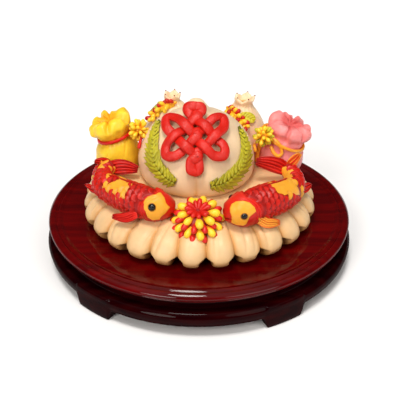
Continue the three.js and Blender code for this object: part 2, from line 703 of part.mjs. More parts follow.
/** A flattened dough rope woven over and under itself, laid on its carriers as one closed loop. */
function endlessKnot(carriers) {
  const { pitch, halfWidth, halfHeight, across, up, sides } = KNOT;
  const path = knotPath();
  const course = new THREE.CatmullRomCurve3(path.map(([along, aside, height]) => (
    new THREE.Vector3(
      across + pitch * (along - aside) * Math.SQRT1_2,
      up + pitch * (along + aside) * Math.SQRT1_2,
      height,
    ))), true, 'catmullrom', 0.5);
  const steps = path.length * 2;
  const stations = Array.from({ length: steps }, (_, i) => {
    const spot = course.getPoint(i / steps);
    const { point, normal } = seenOn(carriers, spot.x, spot.y);
    const lift = halfHeight * (1 + (1 + spot.z) * 1.08) + GAP * 2;
    return { centre: point.addScaledVector(normal, lift), normal };
  });
  const rings = stations.map(({ centre, normal }, i) => {
    const before = stations[(i + steps - 1) % steps].centre;
    const after = stations[(i + 1) % steps].centre;
    const tangent = after.clone().sub(before).normalize();
    const side = tangent.clone().cross(normal).normalize();
    const top = side.clone().cross(tangent);
    return ring(sides, (a) => centre.clone()
      .addScaledVector(side, halfWidth * Math.cos(a))
      .addScaledVector(top, halfHeight * Math.sin(a)));
  });
  return skin(rings);
}

// ---------------------------------------------------------------- the whole
const model = new THREE.Group();

function add(name, geometry, material) {
  const mesh = new THREE.Mesh(geometry, material);
  mesh.name = name;
  model.add(mesh);
  return geometry;
}

add('stand_board', standBoard(), LACQUER);
add('stand_waist', standWaist(), LACQUER);
add('stand_apron', standApron(), LACQUER);

const base = add('base_bun', baseBun(), CREAM_DOUGH);
const peachWhole = peachBun();
const peach = add('peach_bun', fitted(peachWhole, [base]), CREAM_DOUGH);

const pomegranates = {};
Object.entries({ left: POMEGRANATE_LEFT, right: POMEGRANATE_RIGHT }).forEach(([side, sizes]) => {
  const fruit = fitted(pomegranate(sizes), [base, peachWhole]);
  pomegranates[side] = add(`pomegranate_${side}`, fruit, CREAM_DOUGH);
});

const bags = {};
[['yellow', BAG_YELLOW, YELLOW_DOUGH, 'left'], ['pink', BAG_PINK, PINK_DOUGH, 'right']]
  .forEach(([name, sizes, material, side]) => {
    const bag = fitted(moneyBag(sizes), [base, peachWhole, pomegranates[side]]);
    bags[side] = add(`bag_${name}`, bag, material);
  });
const yellowBand = bagBand(BAG_YELLOW);
add('band_red', yellowBand, RED_DOUGH);
const pinkBand = bagBand(BAG_PINK);
add('band_orange', pinkBand, YELLOW_DOUGH);

const kois = {};
Object.entries({ left: KOI_LEFT, right: KOI_RIGHT }).forEach(([side, sizes]) => {
  const body = fitted(koiWithTail(sizes), [base, peachWhole, bags[side]]);
  kois[side] = add(`koi_${side}_body`, body, RED_DOUGH);
  const fins = { front: sizes.frontFin, side: sizes.sideFin };
  Object.entries(fins).forEach(([place, { line, width, yellow }]) => {
    const fin = fitted(blade(line, width, KOI.finThick, VIEW_UP), [body, base]);
    add(`koi_${side}_fin_${place}`, fin, yellow ? YELLOW_DOUGH : RED_DOUGH);
  });
  koiEyes(sizes).forEach((centre, i) => {
    const eye = fitted(bead(centre, KOI.eye), [body]);
    add(`koi_${side}_eye_${i + 1}`, eye, BLACK_BEAD);
  });
});

const ties = {};
[
  { name: 'red', side: 'left', lines: RIBBONS_RED, band: yellowBand, material: RED_DOUGH },
  { name: 'orange', side: 'right', lines: RIBBONS_ORANGE, band: pinkBand, material: YELLOW_DOUGH },
].forEach(({ name, side, lines, band, material }) => {
  ties[side] = [band];
  lines.forEach((line, i) => {
    const end = ribbon([carrier(bags[side]), carrier(peach)], line);
    const fittedEnd = fitted(end, [bags[side], kois[side], ...ties[side]]);
    ties[side].push(add(`ribbon_${name}_${i + 1}`, fittedEnd, material));
  });
});

const flowerCentre = new THREE.Vector3(FLOWER.x, FLOWER.y, FLOWER.z);
const flowerAxis = new THREE.Vector3(0, -Math.sin(FLOWER.lean), Math.cos(FLOWER.lean));
const flower = pompon(flowerCentre, flowerAxis, FLOWER, FLOWER_ROWS);
add('chrysanthemum', fitted(flower, [base, kois.left, kois.right]), YELLOW_DOUGH);

const onPeach = [carrier(peach)];
const knot = add('endless_knot', fitted(endlessKnot(onPeach), [peachWhole]), RED_DOUGH);
const ferns = {};
Object.entries({ left: FERN_LEFT, right: FERN_RIGHT }).forEach(([side, midline]) => {
  const fern = fitted(fernLeaf(onPeach, midline), [base, peachWhole]);
  ferns[side] = add(`fern_leaf_${side}`, fern, GREEN_DOUGH);
});

Object.entries({ left: SMALL_LEAF_LEFT, right: SMALL_LEAF_RIGHT }).forEach(([side, sizes]) => {
  const carriers = [carrier(pomegranates[side]), carrier(peach)];
  const petals = spray(carriers, side === 'left' ? SPRAY_LEFT : SPRAY_RIGHT);
  const blossom = fitted(petals, [peachWhole, pomegranates[side], knot, ferns[side]]);
  add(`blossom_peak_${side}`, blossom, YELLOW_DOUGH);
  const leaf = smallLeaf(carriers, sizes);
  add(`small_leaf_${side}`, fitted(leaf, [blossom, peachWhole, pomegranates[side]]), GREEN_DOUGH);
});

Object.entries(BAG_BLOSSOMS).forEach(([side, { at, facing }]) => {
  const axis = vec(facing).normalize();
  const petals = pompon(vec(at), axis, BLOSSOM, BLOSSOM_ROWS);
  const neighbours = [bags[side], peachWhole, pomegranates[side], ferns[side], ...ties[side]];
  const blossom = fitted(petals, neighbours);
  add(`blossom_bag_${side}`, blossom, YELLOW_DOUGH);
});

export default model;
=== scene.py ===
"""A steamed longevity peach centrepiece on its lacquered stand, with the finish of every piece.

Sizes are in millimetres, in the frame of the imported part: +Z up, the decorated front faces -Y, and the
origin is on the floor under the middle of the stand. Meshes are made in metres at the very end.
"""
import logging
import math
from dataclasses import dataclass, field
from enum import Enum

import bpy
import numpy as np
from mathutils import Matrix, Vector, noise
from mathutils.bvhtree import BVHTree


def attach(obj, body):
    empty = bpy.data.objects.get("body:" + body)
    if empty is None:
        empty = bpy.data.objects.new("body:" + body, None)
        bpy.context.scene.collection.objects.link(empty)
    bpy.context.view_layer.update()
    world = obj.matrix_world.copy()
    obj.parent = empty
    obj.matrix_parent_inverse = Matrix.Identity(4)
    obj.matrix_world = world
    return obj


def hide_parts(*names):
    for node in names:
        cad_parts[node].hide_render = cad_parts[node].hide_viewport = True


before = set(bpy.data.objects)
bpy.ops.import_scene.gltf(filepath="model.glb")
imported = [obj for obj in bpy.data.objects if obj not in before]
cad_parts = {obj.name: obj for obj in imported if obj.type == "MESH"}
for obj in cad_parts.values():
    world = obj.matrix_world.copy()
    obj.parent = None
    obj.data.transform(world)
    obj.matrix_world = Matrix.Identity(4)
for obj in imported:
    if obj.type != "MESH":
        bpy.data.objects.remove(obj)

log = logging.getLogger("centrepiece")
Array = np.ndarray

MM = 0.001
GAP = 0.35  # clearance left between pieces that touch
FULL_TURN = 2 * math.pi
SEED = 26

# ---------------------------------------------------------------- the viewer
# What lies on the buns is laid out across and up in the plane through AIM that faces the viewer.
AIM = np.array([1.2, 0.0, 60.4])
VIEW_ELEVATION = math.radians(30.96)
VIEW_DISTANCE = 1050.0
LENS = 82.6
SENSOR = 36.0
VIEW_UP = np.array([0.0, math.sin(VIEW_ELEVATION), math.cos(VIEW_ELEVATION)])
VIEWER = AIM + VIEW_DISTANCE * np.array([0.0, -math.cos(VIEW_ELEVATION), math.sin(VIEW_ELEVATION)])
MIDDLE_UP = 60.0  # how far up in that plane the middle of the buns is seen


class Slot(Enum):
    """The material slots of the part's record."""

    WOOD = "lacquered_wood"
    CREAM = "cream_dough"
    RED = "red_dough"
    YELLOW = "yellow_dough"
    PINK = "pink_dough"
    GREEN = "green_dough"
    BEAD = "black_bead"


class Variant(Enum):
    """Finishes of pieces that differ from the usual one of their slot."""

    LOW_WOOD_IN_PAINTED_SHADE = "low_wood"
    KNOT = "knot"


class Side(Enum):
    """The viewer's left and right."""

    LEFT = "left"
    RIGHT = "right"


# ---------------------------------------------------------------- colours and finishes
def linear(hex_colour: str) -> Array:
    """Turns an sRGB hex colour into linear red, green and blue.

    Args:
        hex_colour: Six hex digits, such as "fadeaa".

    Returns:
        Three linear values from 0 to 1.
    """
    channels = np.array([int(hex_colour[i:i + 2], 16) for i in (0, 2, 4)]) / 255
    return np.where(channels <= 0.04045, channels / 12.92, ((channels + 0.055) / 1.055) ** 2.4)


# the doughs as they look in soft white light. The darker tones serve both as darker dough and as shade
# painted in creases, hollows and undersides; the cream shades are painted shade only, the base's cream is
# the same dough painted darker as shade, and the pale red is a highlight painted along the koi's backs
CREAM = linear("f6d9b2")
BASE_CREAM_WITH_PAINTED_SHADE = linear("e7c291")
CREAM_PAINTED_SHADE = linear("d2974a")
CREAM_PAINTED_DEEP_SHADE = linear("7c4420")
RED = linear("d41e10")
RED_DARK = linear("a00e08")
RED_PAINTED_HIGHLIGHT = linear("dc3422")
YELLOW = linear("ffd432")
YELLOW_DARK = linear("f4ac1a")
AMBER = linear("f2ac38")
ORANGE = linear("f8a626")
PINK = linear("f4908e")
PINK_DARK = linear("dc5c5a")
LIME = linear("ccc42a")
LIME_DARK = linear("6e6c0a")
DOT_RED = linear("7a1014")


def add_node(tree: bpy.types.NodeTree, kind: str, links: dict | None = None,
             **settings: object) -> bpy.types.Node:
    """Adds a node with its settings and its links.

    Args:
        tree: The node tree that gets the node.
        kind: The node's type name.
        links: For each input, by name or place, the output socket or the constant that feeds it.
        settings: Properties of the node itself.

    Returns:
        The new node.
    """
    node = tree.nodes.new(kind)
    for name, value in settings.items():
        setattr(node, name, value)
    for socket, source in (links or {}).items():
        if isinstance(source, bpy.types.NodeSocket):
            tree.links.new(source, node.inputs[socket])
        else:
            node.inputs[socket].default_value = source
    return node


def blank_material(name: str) -> tuple[bpy.types.Material, bpy.types.NodeTree]:
    """Makes a material with an empty node tree.

    Args:
        name: The material's name.

    Returns:
        The material and its tree.
    """
    material = bpy.data.materials.new(name)
    material.use_nodes = True
    material.node_tree.nodes.clear()
    return material, material.node_tree


@dataclass(frozen=True)
class DoughFinish:
    """Steamed wheat dough: a tight satin skin over a soft inside that lets a little light through.

    The colour is painted on each piece, and the skin drifts a little lighter and darker over about a
    centimetre, as kneaded-in colour does. Fine steam pores break up the gloss.
    """

    name: str
    roughness: float = 0.42
    gloss: float = 0.45  # the skin's mirror share; half is that of clear varnish
    pore_size: float = 1.4  # millimetres, drawn coarser than real ones so that they show
    pore_depth: float = 0.12
    drift: float = 0.10
    drift_size: float = 11.0  # millimetres
    sheen: tuple[float, float] = (-0.05, 0.07)  # how far the roughness drifts with the colour
    glow: float = 0.12
    glow_reach: float = 2.2  # millimetres that light travels under the skin
    glow_colour: tuple[float, float, float] = (1.0, 0.55, 0.3)

    def material(self) -> bpy.types.Material:
        """Builds the dough's node tree.

        Returns:
            The material.
        """
        material, tree = blank_material(self.name)
        place = add_node(tree, "ShaderNodeTexCoord").outputs["Object"]
        paint = add_node(tree, "ShaderNodeAttribute", attribute_name="tint").outputs["Color"]
        cloud = add_node(tree, "ShaderNodeTexNoise",
                         {"Vector": place, "Scale": 1 / (self.drift_size * MM), "Detail": 3.0,
                          "Roughness": 0.55})
        drift = add_node(tree, "ShaderNodeMapRange",
                         {"Value": cloud.outputs["Fac"], "From Min": 0.3, "From Max": 0.7,
                          "To Min": 1 - self.drift, "To Max": 1 + self.drift})
        colour = add_node(tree, "ShaderNodeVectorMath", {0: paint, "Scale": drift.outputs["Result"]},
                          operation="SCALE")
        pores = add_node(tree, "ShaderNodeTexNoise",
                         {"Vector": place, "Scale": 1 / (self.pore_size * MM), "Detail": 2.0})
        bump = add_node(tree, "ShaderNodeBump",
                        {"Height": pores.outputs["Fac"], "Strength": 1.0,
                         "Distance": self.pore_depth * MM})
        sheen = add_node(tree, "ShaderNodeMapRange",
                         {"Value": cloud.outputs["Fac"], "From Min": 0.25, "From Max": 0.75,
                          "To Min": self.roughness + self.sheen[0],
                          "To Max": self.roughness + self.sheen[1]})
        shader = add_node(tree, "ShaderNodeBsdfPrincipled",
                          {"Base Color": colour.outputs["Vector"],
                           "Roughness": sheen.outputs["Result"], "Normal": bump.outputs["Normal"],
                           "Specular IOR Level": self.gloss, "Subsurface Weight": self.glow,
                           "Subsurface Radius": self.glow_colour,
                           "Subsurface Scale": self.glow_reach * MM})
        add_node(tree, "ShaderNodeOutputMaterial", {"Surface": shader.outputs["BSDF"]})
        return material


@dataclass(frozen=True)
class LacquerFinish:
    """Turned hardwood under many coats of clear dark-red lacquer: deep colour with a wet gloss.

    The grain shows through as long faint streaks, and the coat's tiny waves bend its reflections.
    """

    name: str
    deep: str = "460204"
    bright: str = "660404"
    grain_width: float = 9.0  # millimetres
    grain_stretch: float = 0.12
    wave_size: float = 14.0
    wave_depth: float = 0.25
    coat: float = 0.6
    coat_roughness: float = 0.03
    coat_ior: float = 1.42

    def material(self) -> bpy.types.Material:
        """Builds the lacquer's node tree.

        Returns:
            The material.
        """
        material, tree = blank_material(self.name)
        place = add_node(tree, "ShaderNodeTexCoord").outputs["Object"]
        along = add_node(tree, "ShaderNodeMapping",
                         {"Vector": place, "Scale": (self.grain_stretch, 1.0, 1.0)})
        grain = add_node(tree, "ShaderNodeTexNoise",
                         {"Vector": along.outputs["Vector"], "Scale": 1 / (self.grain_width * MM),
                          "Detail": 4.0, "Distortion": 0.4})
        streak = add_node(tree, "ShaderNodeMapRange",
                          {"Value": grain.outputs["Fac"], "From Min": 0.35, "From Max": 0.75})
        colour = add_node(tree, "ShaderNodeMix",
                          {"Factor": streak.outputs["Result"], "A": (*linear(self.deep), 1.0),
                           "B": (*linear(self.bright), 1.0)}, data_type="RGBA")
        waves = add_node(tree, "ShaderNodeTexNoise",
                         {"Vector": place, "Scale": 1 / (self.wave_size * MM), "Detail": 2.0})
        bump = add_node(tree, "ShaderNodeBump",
                        {"Height": waves.outputs["Fac"], "Distance": self.wave_depth * MM})
        shader = add_node(tree, "ShaderNodeBsdfPrincipled",
                          {"Base Color": colour.outputs["Result"], "Roughness": 0.5,
                           "Specular IOR Level": 0.0, "Normal": bump.outputs["Normal"],
                           "Coat Weight": self.coat, "Coat Roughness": self.coat_roughness,
                           "Coat IOR": self.coat_ior})
        add_node(tree, "ShaderNodeOutputMaterial", {"Surface": shader.outputs["BSDF"]})
        return material


@dataclass(frozen=True)
class BeadFinish:
    """A polished black bean: almost black, warm in its thin patches, with a sharp highlight."""

    name: str
    deep: str = "010101"
    warm: str = "080403"
    patch_size: float = 2.0
    roughness: float = 0.12

    def material(self) -> bpy.types.Material:
        """Builds the bead's node tree.

        Returns:
            The material.
        """
        material, tree = blank_material(self.name)
        place = add_node(tree, "ShaderNodeTexCoord").outputs["Object"]
        cloud = add_node(tree, "ShaderNodeTexNoise", {"Vector": place, "Scale": 1 / (self.patch_size * MM)})
        colour = add_node(tree, "ShaderNodeMix",
                          {"Factor": cloud.outputs["Fac"], "A": (*linear(self.deep), 1.0),
                           "B": (*linear(self.warm), 1.0)}, data_type="RGBA")
        shader = add_node(tree, "ShaderNodeBsdfPrincipled",
                          {"Base Color": colour.outputs["Result"], "Roughness": self.roughness,
                           "Specular IOR Level": 0.5})
        add_node(tree, "ShaderNodeOutputMaterial", {"Surface": shader.outputs["BSDF"]})
        return material


class Finishes:
    """Makes each material once and hands it out by slot."""

    def __init__(self) -> None:
        """Builds every finish of the centrepiece."""
        self.by_slot = {
            # many coats of lacquer on turned wood: deep red with sharp reflections
            Slot.WOOD: LacquerFinish("dark_red_lacquer_on_turned_hardwood").material(),
            # the carved lower wood: the same lacquer with a thinner coat, its colour darkened nearly to
            # black as painted shade under the board
            Variant.LOW_WOOD_IN_PAINTED_SHADE: LacquerFinish("red_lacquer_on_carved_hardwood_darkened_as_painted_shade", "160002", "2a0203",
                                            coat=0.14).material(),
            # a thick rope of dough whose steam pores show as a fine orange-peel
            Variant.KNOT: DoughFinish("porous_red_steamed_wheat_dough", roughness=0.34, pore_size=1.3,
                                      pore_depth=0.5).material(),
            # plain dough: an even pale skin with a soft shine
            Slot.CREAM: DoughFinish("cream_steamed_wheat_dough", roughness=0.4, drift=0.05).material(),
            # red dough: a tight skin with small, faint highlights
            Slot.RED: DoughFinish("red_steamed_wheat_dough", roughness=0.34, gloss=0.3,
                                  pore_depth=0.14).material(),
            # yellow dough: smooth and a little glossier than the cream
            Slot.YELLOW: DoughFinish("yellow_steamed_wheat_dough", roughness=0.38).material(),
            # pink dough: slightly rougher, with soft broad highlights
            Slot.PINK: DoughFinish("pink_steamed_wheat_dough", pore_depth=0.16).material(),
            # green dough: unevenly kneaded, so that it drifts lighter and darker
            Slot.GREEN: DoughFinish("green_steamed_wheat_dough", roughness=0.45, drift=0.16).material(),
            # beans: black with one sharp glint
            Slot.BEAD: BeadFinish("polished_black_bean").material(),
        }

    def __getitem__(self, slot: Slot | Variant) -> bpy.types.Material:
        """The material of a slot or of a variant."""
        return self.by_slot[slot]


# ---------------------------------------------------------------- numbers, curves and surfaces
def smoothstep(value: Array, low: float, high: float) -> Array:
    """Rises smoothly from 0 at low to 1 at high.

    Args:
        value: The values to weigh.
        low: Where the rise starts.
        high: Where it ends; below low the step falls instead.

    Returns:
        Weights from 0 to 1.
    """
    share = np.clip((value - low) / (high - low), 0, 1)
    return share * share * (3 - 2 * share)


def bell(value: Array, width: float) -> Array:
    """A bell of height 1 round zero.

    Args:
        value: Distance from the bell's middle.
        width: Distance at which the bell has fallen to about a third.

    Returns:
        The bell's height at each value.
    """
    return np.exp(-((value / width) ** 2))


def pleated(angle: Array, depth: float, count: int, drift: float, bends: int) -> Array:
    """Pleats round an axis whose spacing drifts wider and narrower."""
    return depth * np.cos(count * angle + drift * np.sin(bends * angle))


def directions(count: int) -> Array:
    """Evenly spaced angles once round, in radians."""
    return np.linspace(0, FULL_TURN, count, endpoint=False)


def round_points(radius: Array, angle: Array | float, height: Array) -> Array:
    """Points at a radius and a height, in directions round the vertical axis."""
    across, deep = radius * np.cos(angle), radius * np.sin(angle)
    return np.stack(np.broadcast_arrays(across, deep, height), axis=-1)


def broadened(wave: Array, power: float) -> Array:
    """A wave from -1 to 1 with broader tops, which makes a round section squarer."""
    return np.sign(wave) * np.abs(wave) ** power


def unit(vectors: Array) -> Array:
    """The same directions at length one."""
    return vectors / np.maximum(np.linalg.norm(vectors, axis=-1, keepdims=True), 1e-12)


def mixed(one: Array, other: Array, share: Array) -> Array:
    """Blends two colours.

    Args:
        one: The colour at share 0.
        other: The colour at share 1.
        share: How much of the other colour, at any number of places.

    Returns:
        A colour at each place.
    """
    share = np.clip(np.asarray(share, float), 0, 1)[..., None]
    return np.asarray(one) * (1 - share) + np.asarray(other) * share


def unevenness(points: Array, size: float, salt: float = 0.0) -> Array:
    """Smooth noise at points, as the unevenness of kneaded dough.

    Args:
        points: Points in millimetres, in any grid.
        size: Size of the lumps in millimetres.
        salt: Shifts the pattern, so that pieces differ.

    Returns:
        Values from about -1 to 1, one for each point.
    """
    flat = points.reshape(-1, 3) / size + salt
    values = [noise.noise(Vector(point)) for point in flat]
    return np.array(values).reshape(points.shape[:-1])


class Course:
    """A smooth curve through points; its share runs evenly from each point to the next."""

    def __init__(self, points: Array | list, closed: bool = False) -> None:
        """Keeps the points and the ones beyond its ends that shape the end stretches.

        Args:
            points: The points that it passes through.
            closed: Whether it returns to the first one.
        """
        self.closed = closed
        at = np.array(points, float)
        self.count = len(at)
        if closed:
            self.padded = np.concatenate([at[-1:], at, at[:2]])
        else:
            self.padded = np.concatenate([2 * at[:1] - at[1:2], at, 2 * at[-1:] - at[-2:-1]])

    def at(self, share: Array | float) -> Array:
        """The points at shares of the curve from 0 to 1.

        Args:
            share: Shares of the way, one or many.

        Returns:
            A point for each share.
        """
        share = np.atleast_1d(np.asarray(share, float))
        spans = self.count if self.closed else self.count - 1
        place = (share % 1.0 if self.closed else np.clip(share, 0, 1)) * spans
        i = np.minimum(np.floor(place).astype(int), spans - 1)
        w = (place - i)[:, None]
        p0, p1, p2, p3 = (self.padded[i + k] for k in range(4))
        if self.closed:
            t1, t2 = (p2 - p0) / 2, (p3 - p1) / 2
        else:
            d0, d1, d2 = (np.maximum(np.linalg.norm(b - a, axis=1, keepdims=True) ** 0.5, 1e-4)
                          for a, b in ((p0, p1), (p1, p2), (p2, p3)))
            t1 = ((p1 - p0) / d0 - (p2 - p0) / (d0 + d1) + (p2 - p1) / d1) * d1
            t2 = ((p2 - p1) / d1 - (p3 - p1) / (d1 + d2) + (p3 - p2) / d2) * d1
        c2 = -3 * p1 + 3 * p2 - 2 * t1 - t2
        c3 = 2 * p1 - 2 * p2 + t1 + t2
        return p1 + t1 * w + c2 * w**2 + c3 * w**3

    def tangent(self, share: Array | float) -> Array:
        """The directions of the curve at shares from 0 to 1.

        Args:
            share: Shares of the way, one or many.

        Returns:
            A direction of length one for each share.
        """
        share = np.atleast_1d(np.asarray(share, float))
        step = 1e-4
        if self.closed:
            return unit(self.at(share + step) - self.at(share - step))
        ahead = np.clip(share + step, 0, 1)
        behind = np.clip(share - step, 0, 1)
        return unit(self.at(ahead) - self.at(behind))


class Clay:
    """A surface in the making: points in millimetres, faces, and the colour painted on each point."""

    def __init__(self) -> None:
        """Starts with nothing."""
        self.points: list[Array] = []
        self.tints: list[Array] = []
        self.faces: list[tuple[int, ...]] = []
        self.total = 0

    def skin(self, rings: Array, tint: Array, first: Array | None = None,
             last: Array | None = None) -> "Clay":
        """Adds a closed skin over rings of points, drawn together at its ends or closed in a loop.

        Args:
            rings: Points of rings by places round the ring by 3.
            tint: One colour, or a colour at each point of the rings.
            first: The point that closes the first ring; without it the rings make a loop.
            last: The point that closes the last ring.

        Returns:
            This surface.
        """
        count, sides = rings.shape[:2]
        colours = np.broadcast_to(tint, rings.shape)
        points = rings.reshape(-1, 3)
        tints = colours.reshape(-1, 3)
        is_loop = first is None
        here = np.arange(count if is_loop else count - 1)[:, None] * sides
        after = (here + sides) % (count * sides)
        j = np.arange(sides)[None, :]
        k = (j + 1) % sides
        faces = np.stack([here + j, here + k, after + k, after + j], axis=-1).reshape(-1, 4).tolist()
        if not is_loop:
            end = (count - 1) * sides
            points = np.concatenate([points, [first], [last]])
            tints = np.concatenate([tints, [colours[0].mean(0)], [colours[-1].mean(0)]])
            pole = len(points)
            faces += [[pole - 2, (i + 1) % sides, i] for i in range(sides)]
            faces += [[pole - 1, end + i, end + (i + 1) % sides] for i in range(sides)]
        if self._volume(points, faces) < 0:
            faces = [face[::-1] for face in faces]
        self.faces += [tuple(corner + self.total for corner in face) for face in faces]
        self.points.append(points)
        self.tints.append(tints)
        self.total += len(points)
        return self

    @staticmethod
    def _volume(points: Array, faces: list) -> float:
        """Measures six times the volume that faces enclose.

        Args:
            points: The places of the corners.
            faces: The corners of each face, three or four.

        Returns:
            The measure, which is negative where the faces point inwards.
        """
        total = 0.0
        for corners in (3, 4):
            group = np.array([face for face in faces if len(face) == corners])
            for k in range(1, corners - 1):
                if len(group):
                    a, b, c = (points[group[:, i]] for i in (0, k, k + 1))
                    total += float(np.einsum("ij,ij->i", a, np.cross(b, c)).sum())
        return total

    def tree(self) -> BVHTree:
        """A search tree over the surface, in millimetres."""
        return BVHTree.FromPolygons(np.concatenate(self.points).tolist(), self.faces)

    def piece(self, name: str, material: bpy.types.Material,
              crease: float | None = None) -> bpy.types.Object:
        """Makes the surface a mesh object in metres.

        Args:
            name: The object's name.
            material: Its material.
            crease: The angle in degrees past which an edge stays sharp, if any does.

        Returns:
            The object, in the scene.
        """
        mesh = bpy.data.meshes.new(name)
        mesh.from_pydata((np.concatenate(self.points) * MM).tolist(), [], self.faces)
        colours = np.concatenate(self.tints)
        layer = mesh.attributes.new("tint", "FLOAT_COLOR", "POINT")
        layer.data.foreach_set("color", np.column_stack([colours, np.ones(len(colours))]).ravel())
        mesh.materials.append(material)
        mesh.shade_smooth()
        if crease is not None:
            mesh.set_sharp_from_angle(angle=math.radians(crease))
        return in_scene(bpy.data.objects.new(name, mesh))


def in_scene(thing: bpy.types.Object) -> bpy.types.Object:
    """Links an object to the scene and hands it back."""
    bpy.context.scene.collection.objects.link(thing)
    return thing


def joined(name: str, parts: list[bpy.types.Object]) -> bpy.types.Object:
    """Joins objects into the first one.

    Args:
        name: The name of the whole.
        parts: The objects, which keep their materials and painted colours.

    Returns:
        The joined object.
    """
    with bpy.context.temp_override(active_object=parts[0], object=parts[0],
                                   selected_editable_objects=parts, selected_objects=parts):
        bpy.ops.object.join()
    parts[0].name = name
    return parts[0]


def dressed(piece: bpy.types.Object, slot: Slot, *nodes: str) -> bpy.types.Object:
    """Makes a finished piece stand for its solids.

    Args:
        piece: The finished object.
        slot: The record's slot that its finish comes from; not used.
        nodes: The solids that it replaces.

    Returns:
        The piece.
    """
    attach(piece, "root")
    if nodes:
        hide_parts(*nodes)
    log.info("%s: %d faces for %s", piece.name, len(piece.data.polygons), ", ".join(nodes) or "itself")
    return piece


def turned(profile: Array, sides: int, tint: Array) -> Clay:
    """Turns a profile on the vertical axis.

    Args:
        profile: Radius and height of each point from axis to axis, or round a closed section.
        sides: Number of places round the axis.
        tint: The colour painted on it.

    Returns:
        The turned surface.
    """
    angle = directions(sides)
    radius, height = profile[:, 0], profile[:, 1]
    rings = round_points(radius[:, None], angle, height[:, None])
    if radius[0] > 0:
        return Clay().skin(rings, tint)
    return Clay().skin(rings[1:-1], tint, rings[0, 0], rings[-1, 0])


# ---------------------------------------------------------------- things that are placed many times
class Placing:
    """Places copies of one small shape at spots of a surface, through Geometry Nodes."""

    def __init__(self) -> None:
        """Builds the tree: copies at the spots, turned, sized and varied, then made real."""
        tree = bpy.data.node_groups.new("placed_shapes", "GeometryNodeTree")
        face = tree.interface
        face.new_socket("Spots", in_out="INPUT", socket_type="NodeSocketGeometry")
        kinds = {"Shape": "NodeSocketObject", "Finish": "NodeSocketMaterial",
                 "Size": "NodeSocketFloat", "Unevenness": "NodeSocketFloat",
                 "Wobble": "NodeSocketFloat", "Seed": "NodeSocketInt"}
        self.inputs = {name: face.new_socket(name, in_out="INPUT", socket_type=kind).identifier
                       for name, kind in kinds.items()}
        face.new_socket("Shapes", in_out="OUTPUT", socket_type="NodeSocketGeometry")
        start = add_node(tree, "NodeGroupInput").outputs
        shape = add_node(tree, "GeometryNodeObjectInfo", {"Object": start["Shape"]})
        forward, outward, size = (
            add_node(tree, "GeometryNodeInputNamedAttribute", {"Name": name},
                     data_type="FLOAT_VECTOR").outputs["Attribute"]
            for name in ("forward", "outward", "size"))
        turn = add_node(tree, "FunctionNodeAxesToRotation",
                        {"Primary Axis": forward, "Secondary Axis": outward},
                        primary_axis="Z", secondary_axis="X")
        low = add_node(tree, "ShaderNodeMath", {0: 1.0, 1: start["Unevenness"]}, operation="SUBTRACT")
        high = add_node(tree, "ShaderNodeMath", {0: 1.0, 1: start["Unevenness"]}, operation="ADD")
        vary = add_node(tree, "FunctionNodeRandomValue",
                        {"Min": low.outputs[0], "Max": high.outputs[0], "Seed": start["Seed"]},
                        data_type="FLOAT")
        vary_value = next(s for s in vary.outputs if s.enabled)
        whole = add_node(tree, "ShaderNodeMath", {0: vary_value, 1: start["Size"]},
                         operation="MULTIPLY")
        scale = add_node(tree, "ShaderNodeVectorMath", {0: size, "Scale": whole.outputs[0]},
                         operation="SCALE")
        placed = add_node(tree, "GeometryNodeInstanceOnPoints",
                          {"Points": start["Spots"], "Instance": shape.outputs["Geometry"],
                           "Rotation": turn.outputs[0], "Scale": scale.outputs["Vector"]})
        back = add_node(tree, "ShaderNodeMath", {0: start["Wobble"], 1: -1.0}, operation="MULTIPLY")
        lean = add_node(tree, "FunctionNodeRandomValue",
                        {"Min": back.outputs[0], "Max": start["Wobble"], "Seed": start["Seed"]},
                        data_type="FLOAT")
        lean_value = next(s for s in lean.outputs if s.enabled)
        tilt = add_node(tree, "ShaderNodeCombineXYZ", {"X": lean_value, "Y": lean_value})
        wobbly = add_node(tree, "GeometryNodeRotateInstances",
                          {"Instances": placed.outputs[0], "Rotation": tilt.outputs[0]})
        real = add_node(tree, "GeometryNodeRealizeInstances", {0: wobbly.outputs[0]})
        finish = add_node(tree, "GeometryNodeSetMaterial",
                          {"Geometry": real.outputs[0], "Material": start["Finish"]})
        add_node(tree, "NodeGroupOutput", {0: finish.outputs[0]})
        self.tree = tree

    def placed(self, name: str, spots: "Spots", shape: Clay, material: bpy.types.Material,
               unevenness_share: float = 0.06, wobble: float = 0.05, seed: int = SEED,
               ) -> bpy.types.Object:
        """Places a shape at every spot and makes the result one plain mesh.

        Args:
            name: The name of the result.
            spots: Where the copies go, and how they are turned, sized and coloured.
            shape: The shape, in units: it points along +Z and its back faces +X.
            material: The material of the copies.
            unevenness_share: How much the copies differ in size, as a share.
            wobble: How far they lean at random, in radians.
            seed: Seed of the random draws.

        Returns:
            One mesh object.
        """
        model = shape.piece(f"{name}_shape", material)
        # the shape's colours are its painted shade, which multiply the colour of each copy
        model.data.attributes["tint"].name = "shade"
        host = spots.host(name)
        modifier = host.modifiers.new("placing", "NODES")
        modifier.node_group = self.tree
        values = {"Shape": model, "Finish": material, "Size": 1.0, "Unevenness": unevenness_share,
                  "Wobble": wobble, "Seed": seed}
        for label, value in values.items():
            modifier[self.inputs[label]] = value
        graph = bpy.context.evaluated_depsgraph_get()
        mesh = bpy.data.meshes.new_from_object(host.evaluated_get(graph), depsgraph=graph)
        for leftover in (host, model):
            bpy.data.objects.remove(leftover)
        # each copy's colour times the painted shade of its shape
        paint, shade = (np.empty(4 * len(mesh.vertices)) for _ in range(2))
        mesh.attributes["tint"].data.foreach_get("color", paint)
        mesh.attributes["shade"].data.foreach_get("color", shade)
        mesh.attributes["tint"].data.foreach_set("color", paint * shade)
        for extra in ("forward", "outward", "size", "shade"):
            if extra in mesh.attributes:
                mesh.attributes.remove(mesh.attributes[extra])
        mesh.shade_smooth()
        return in_scene(bpy.data.objects.new(name, mesh))


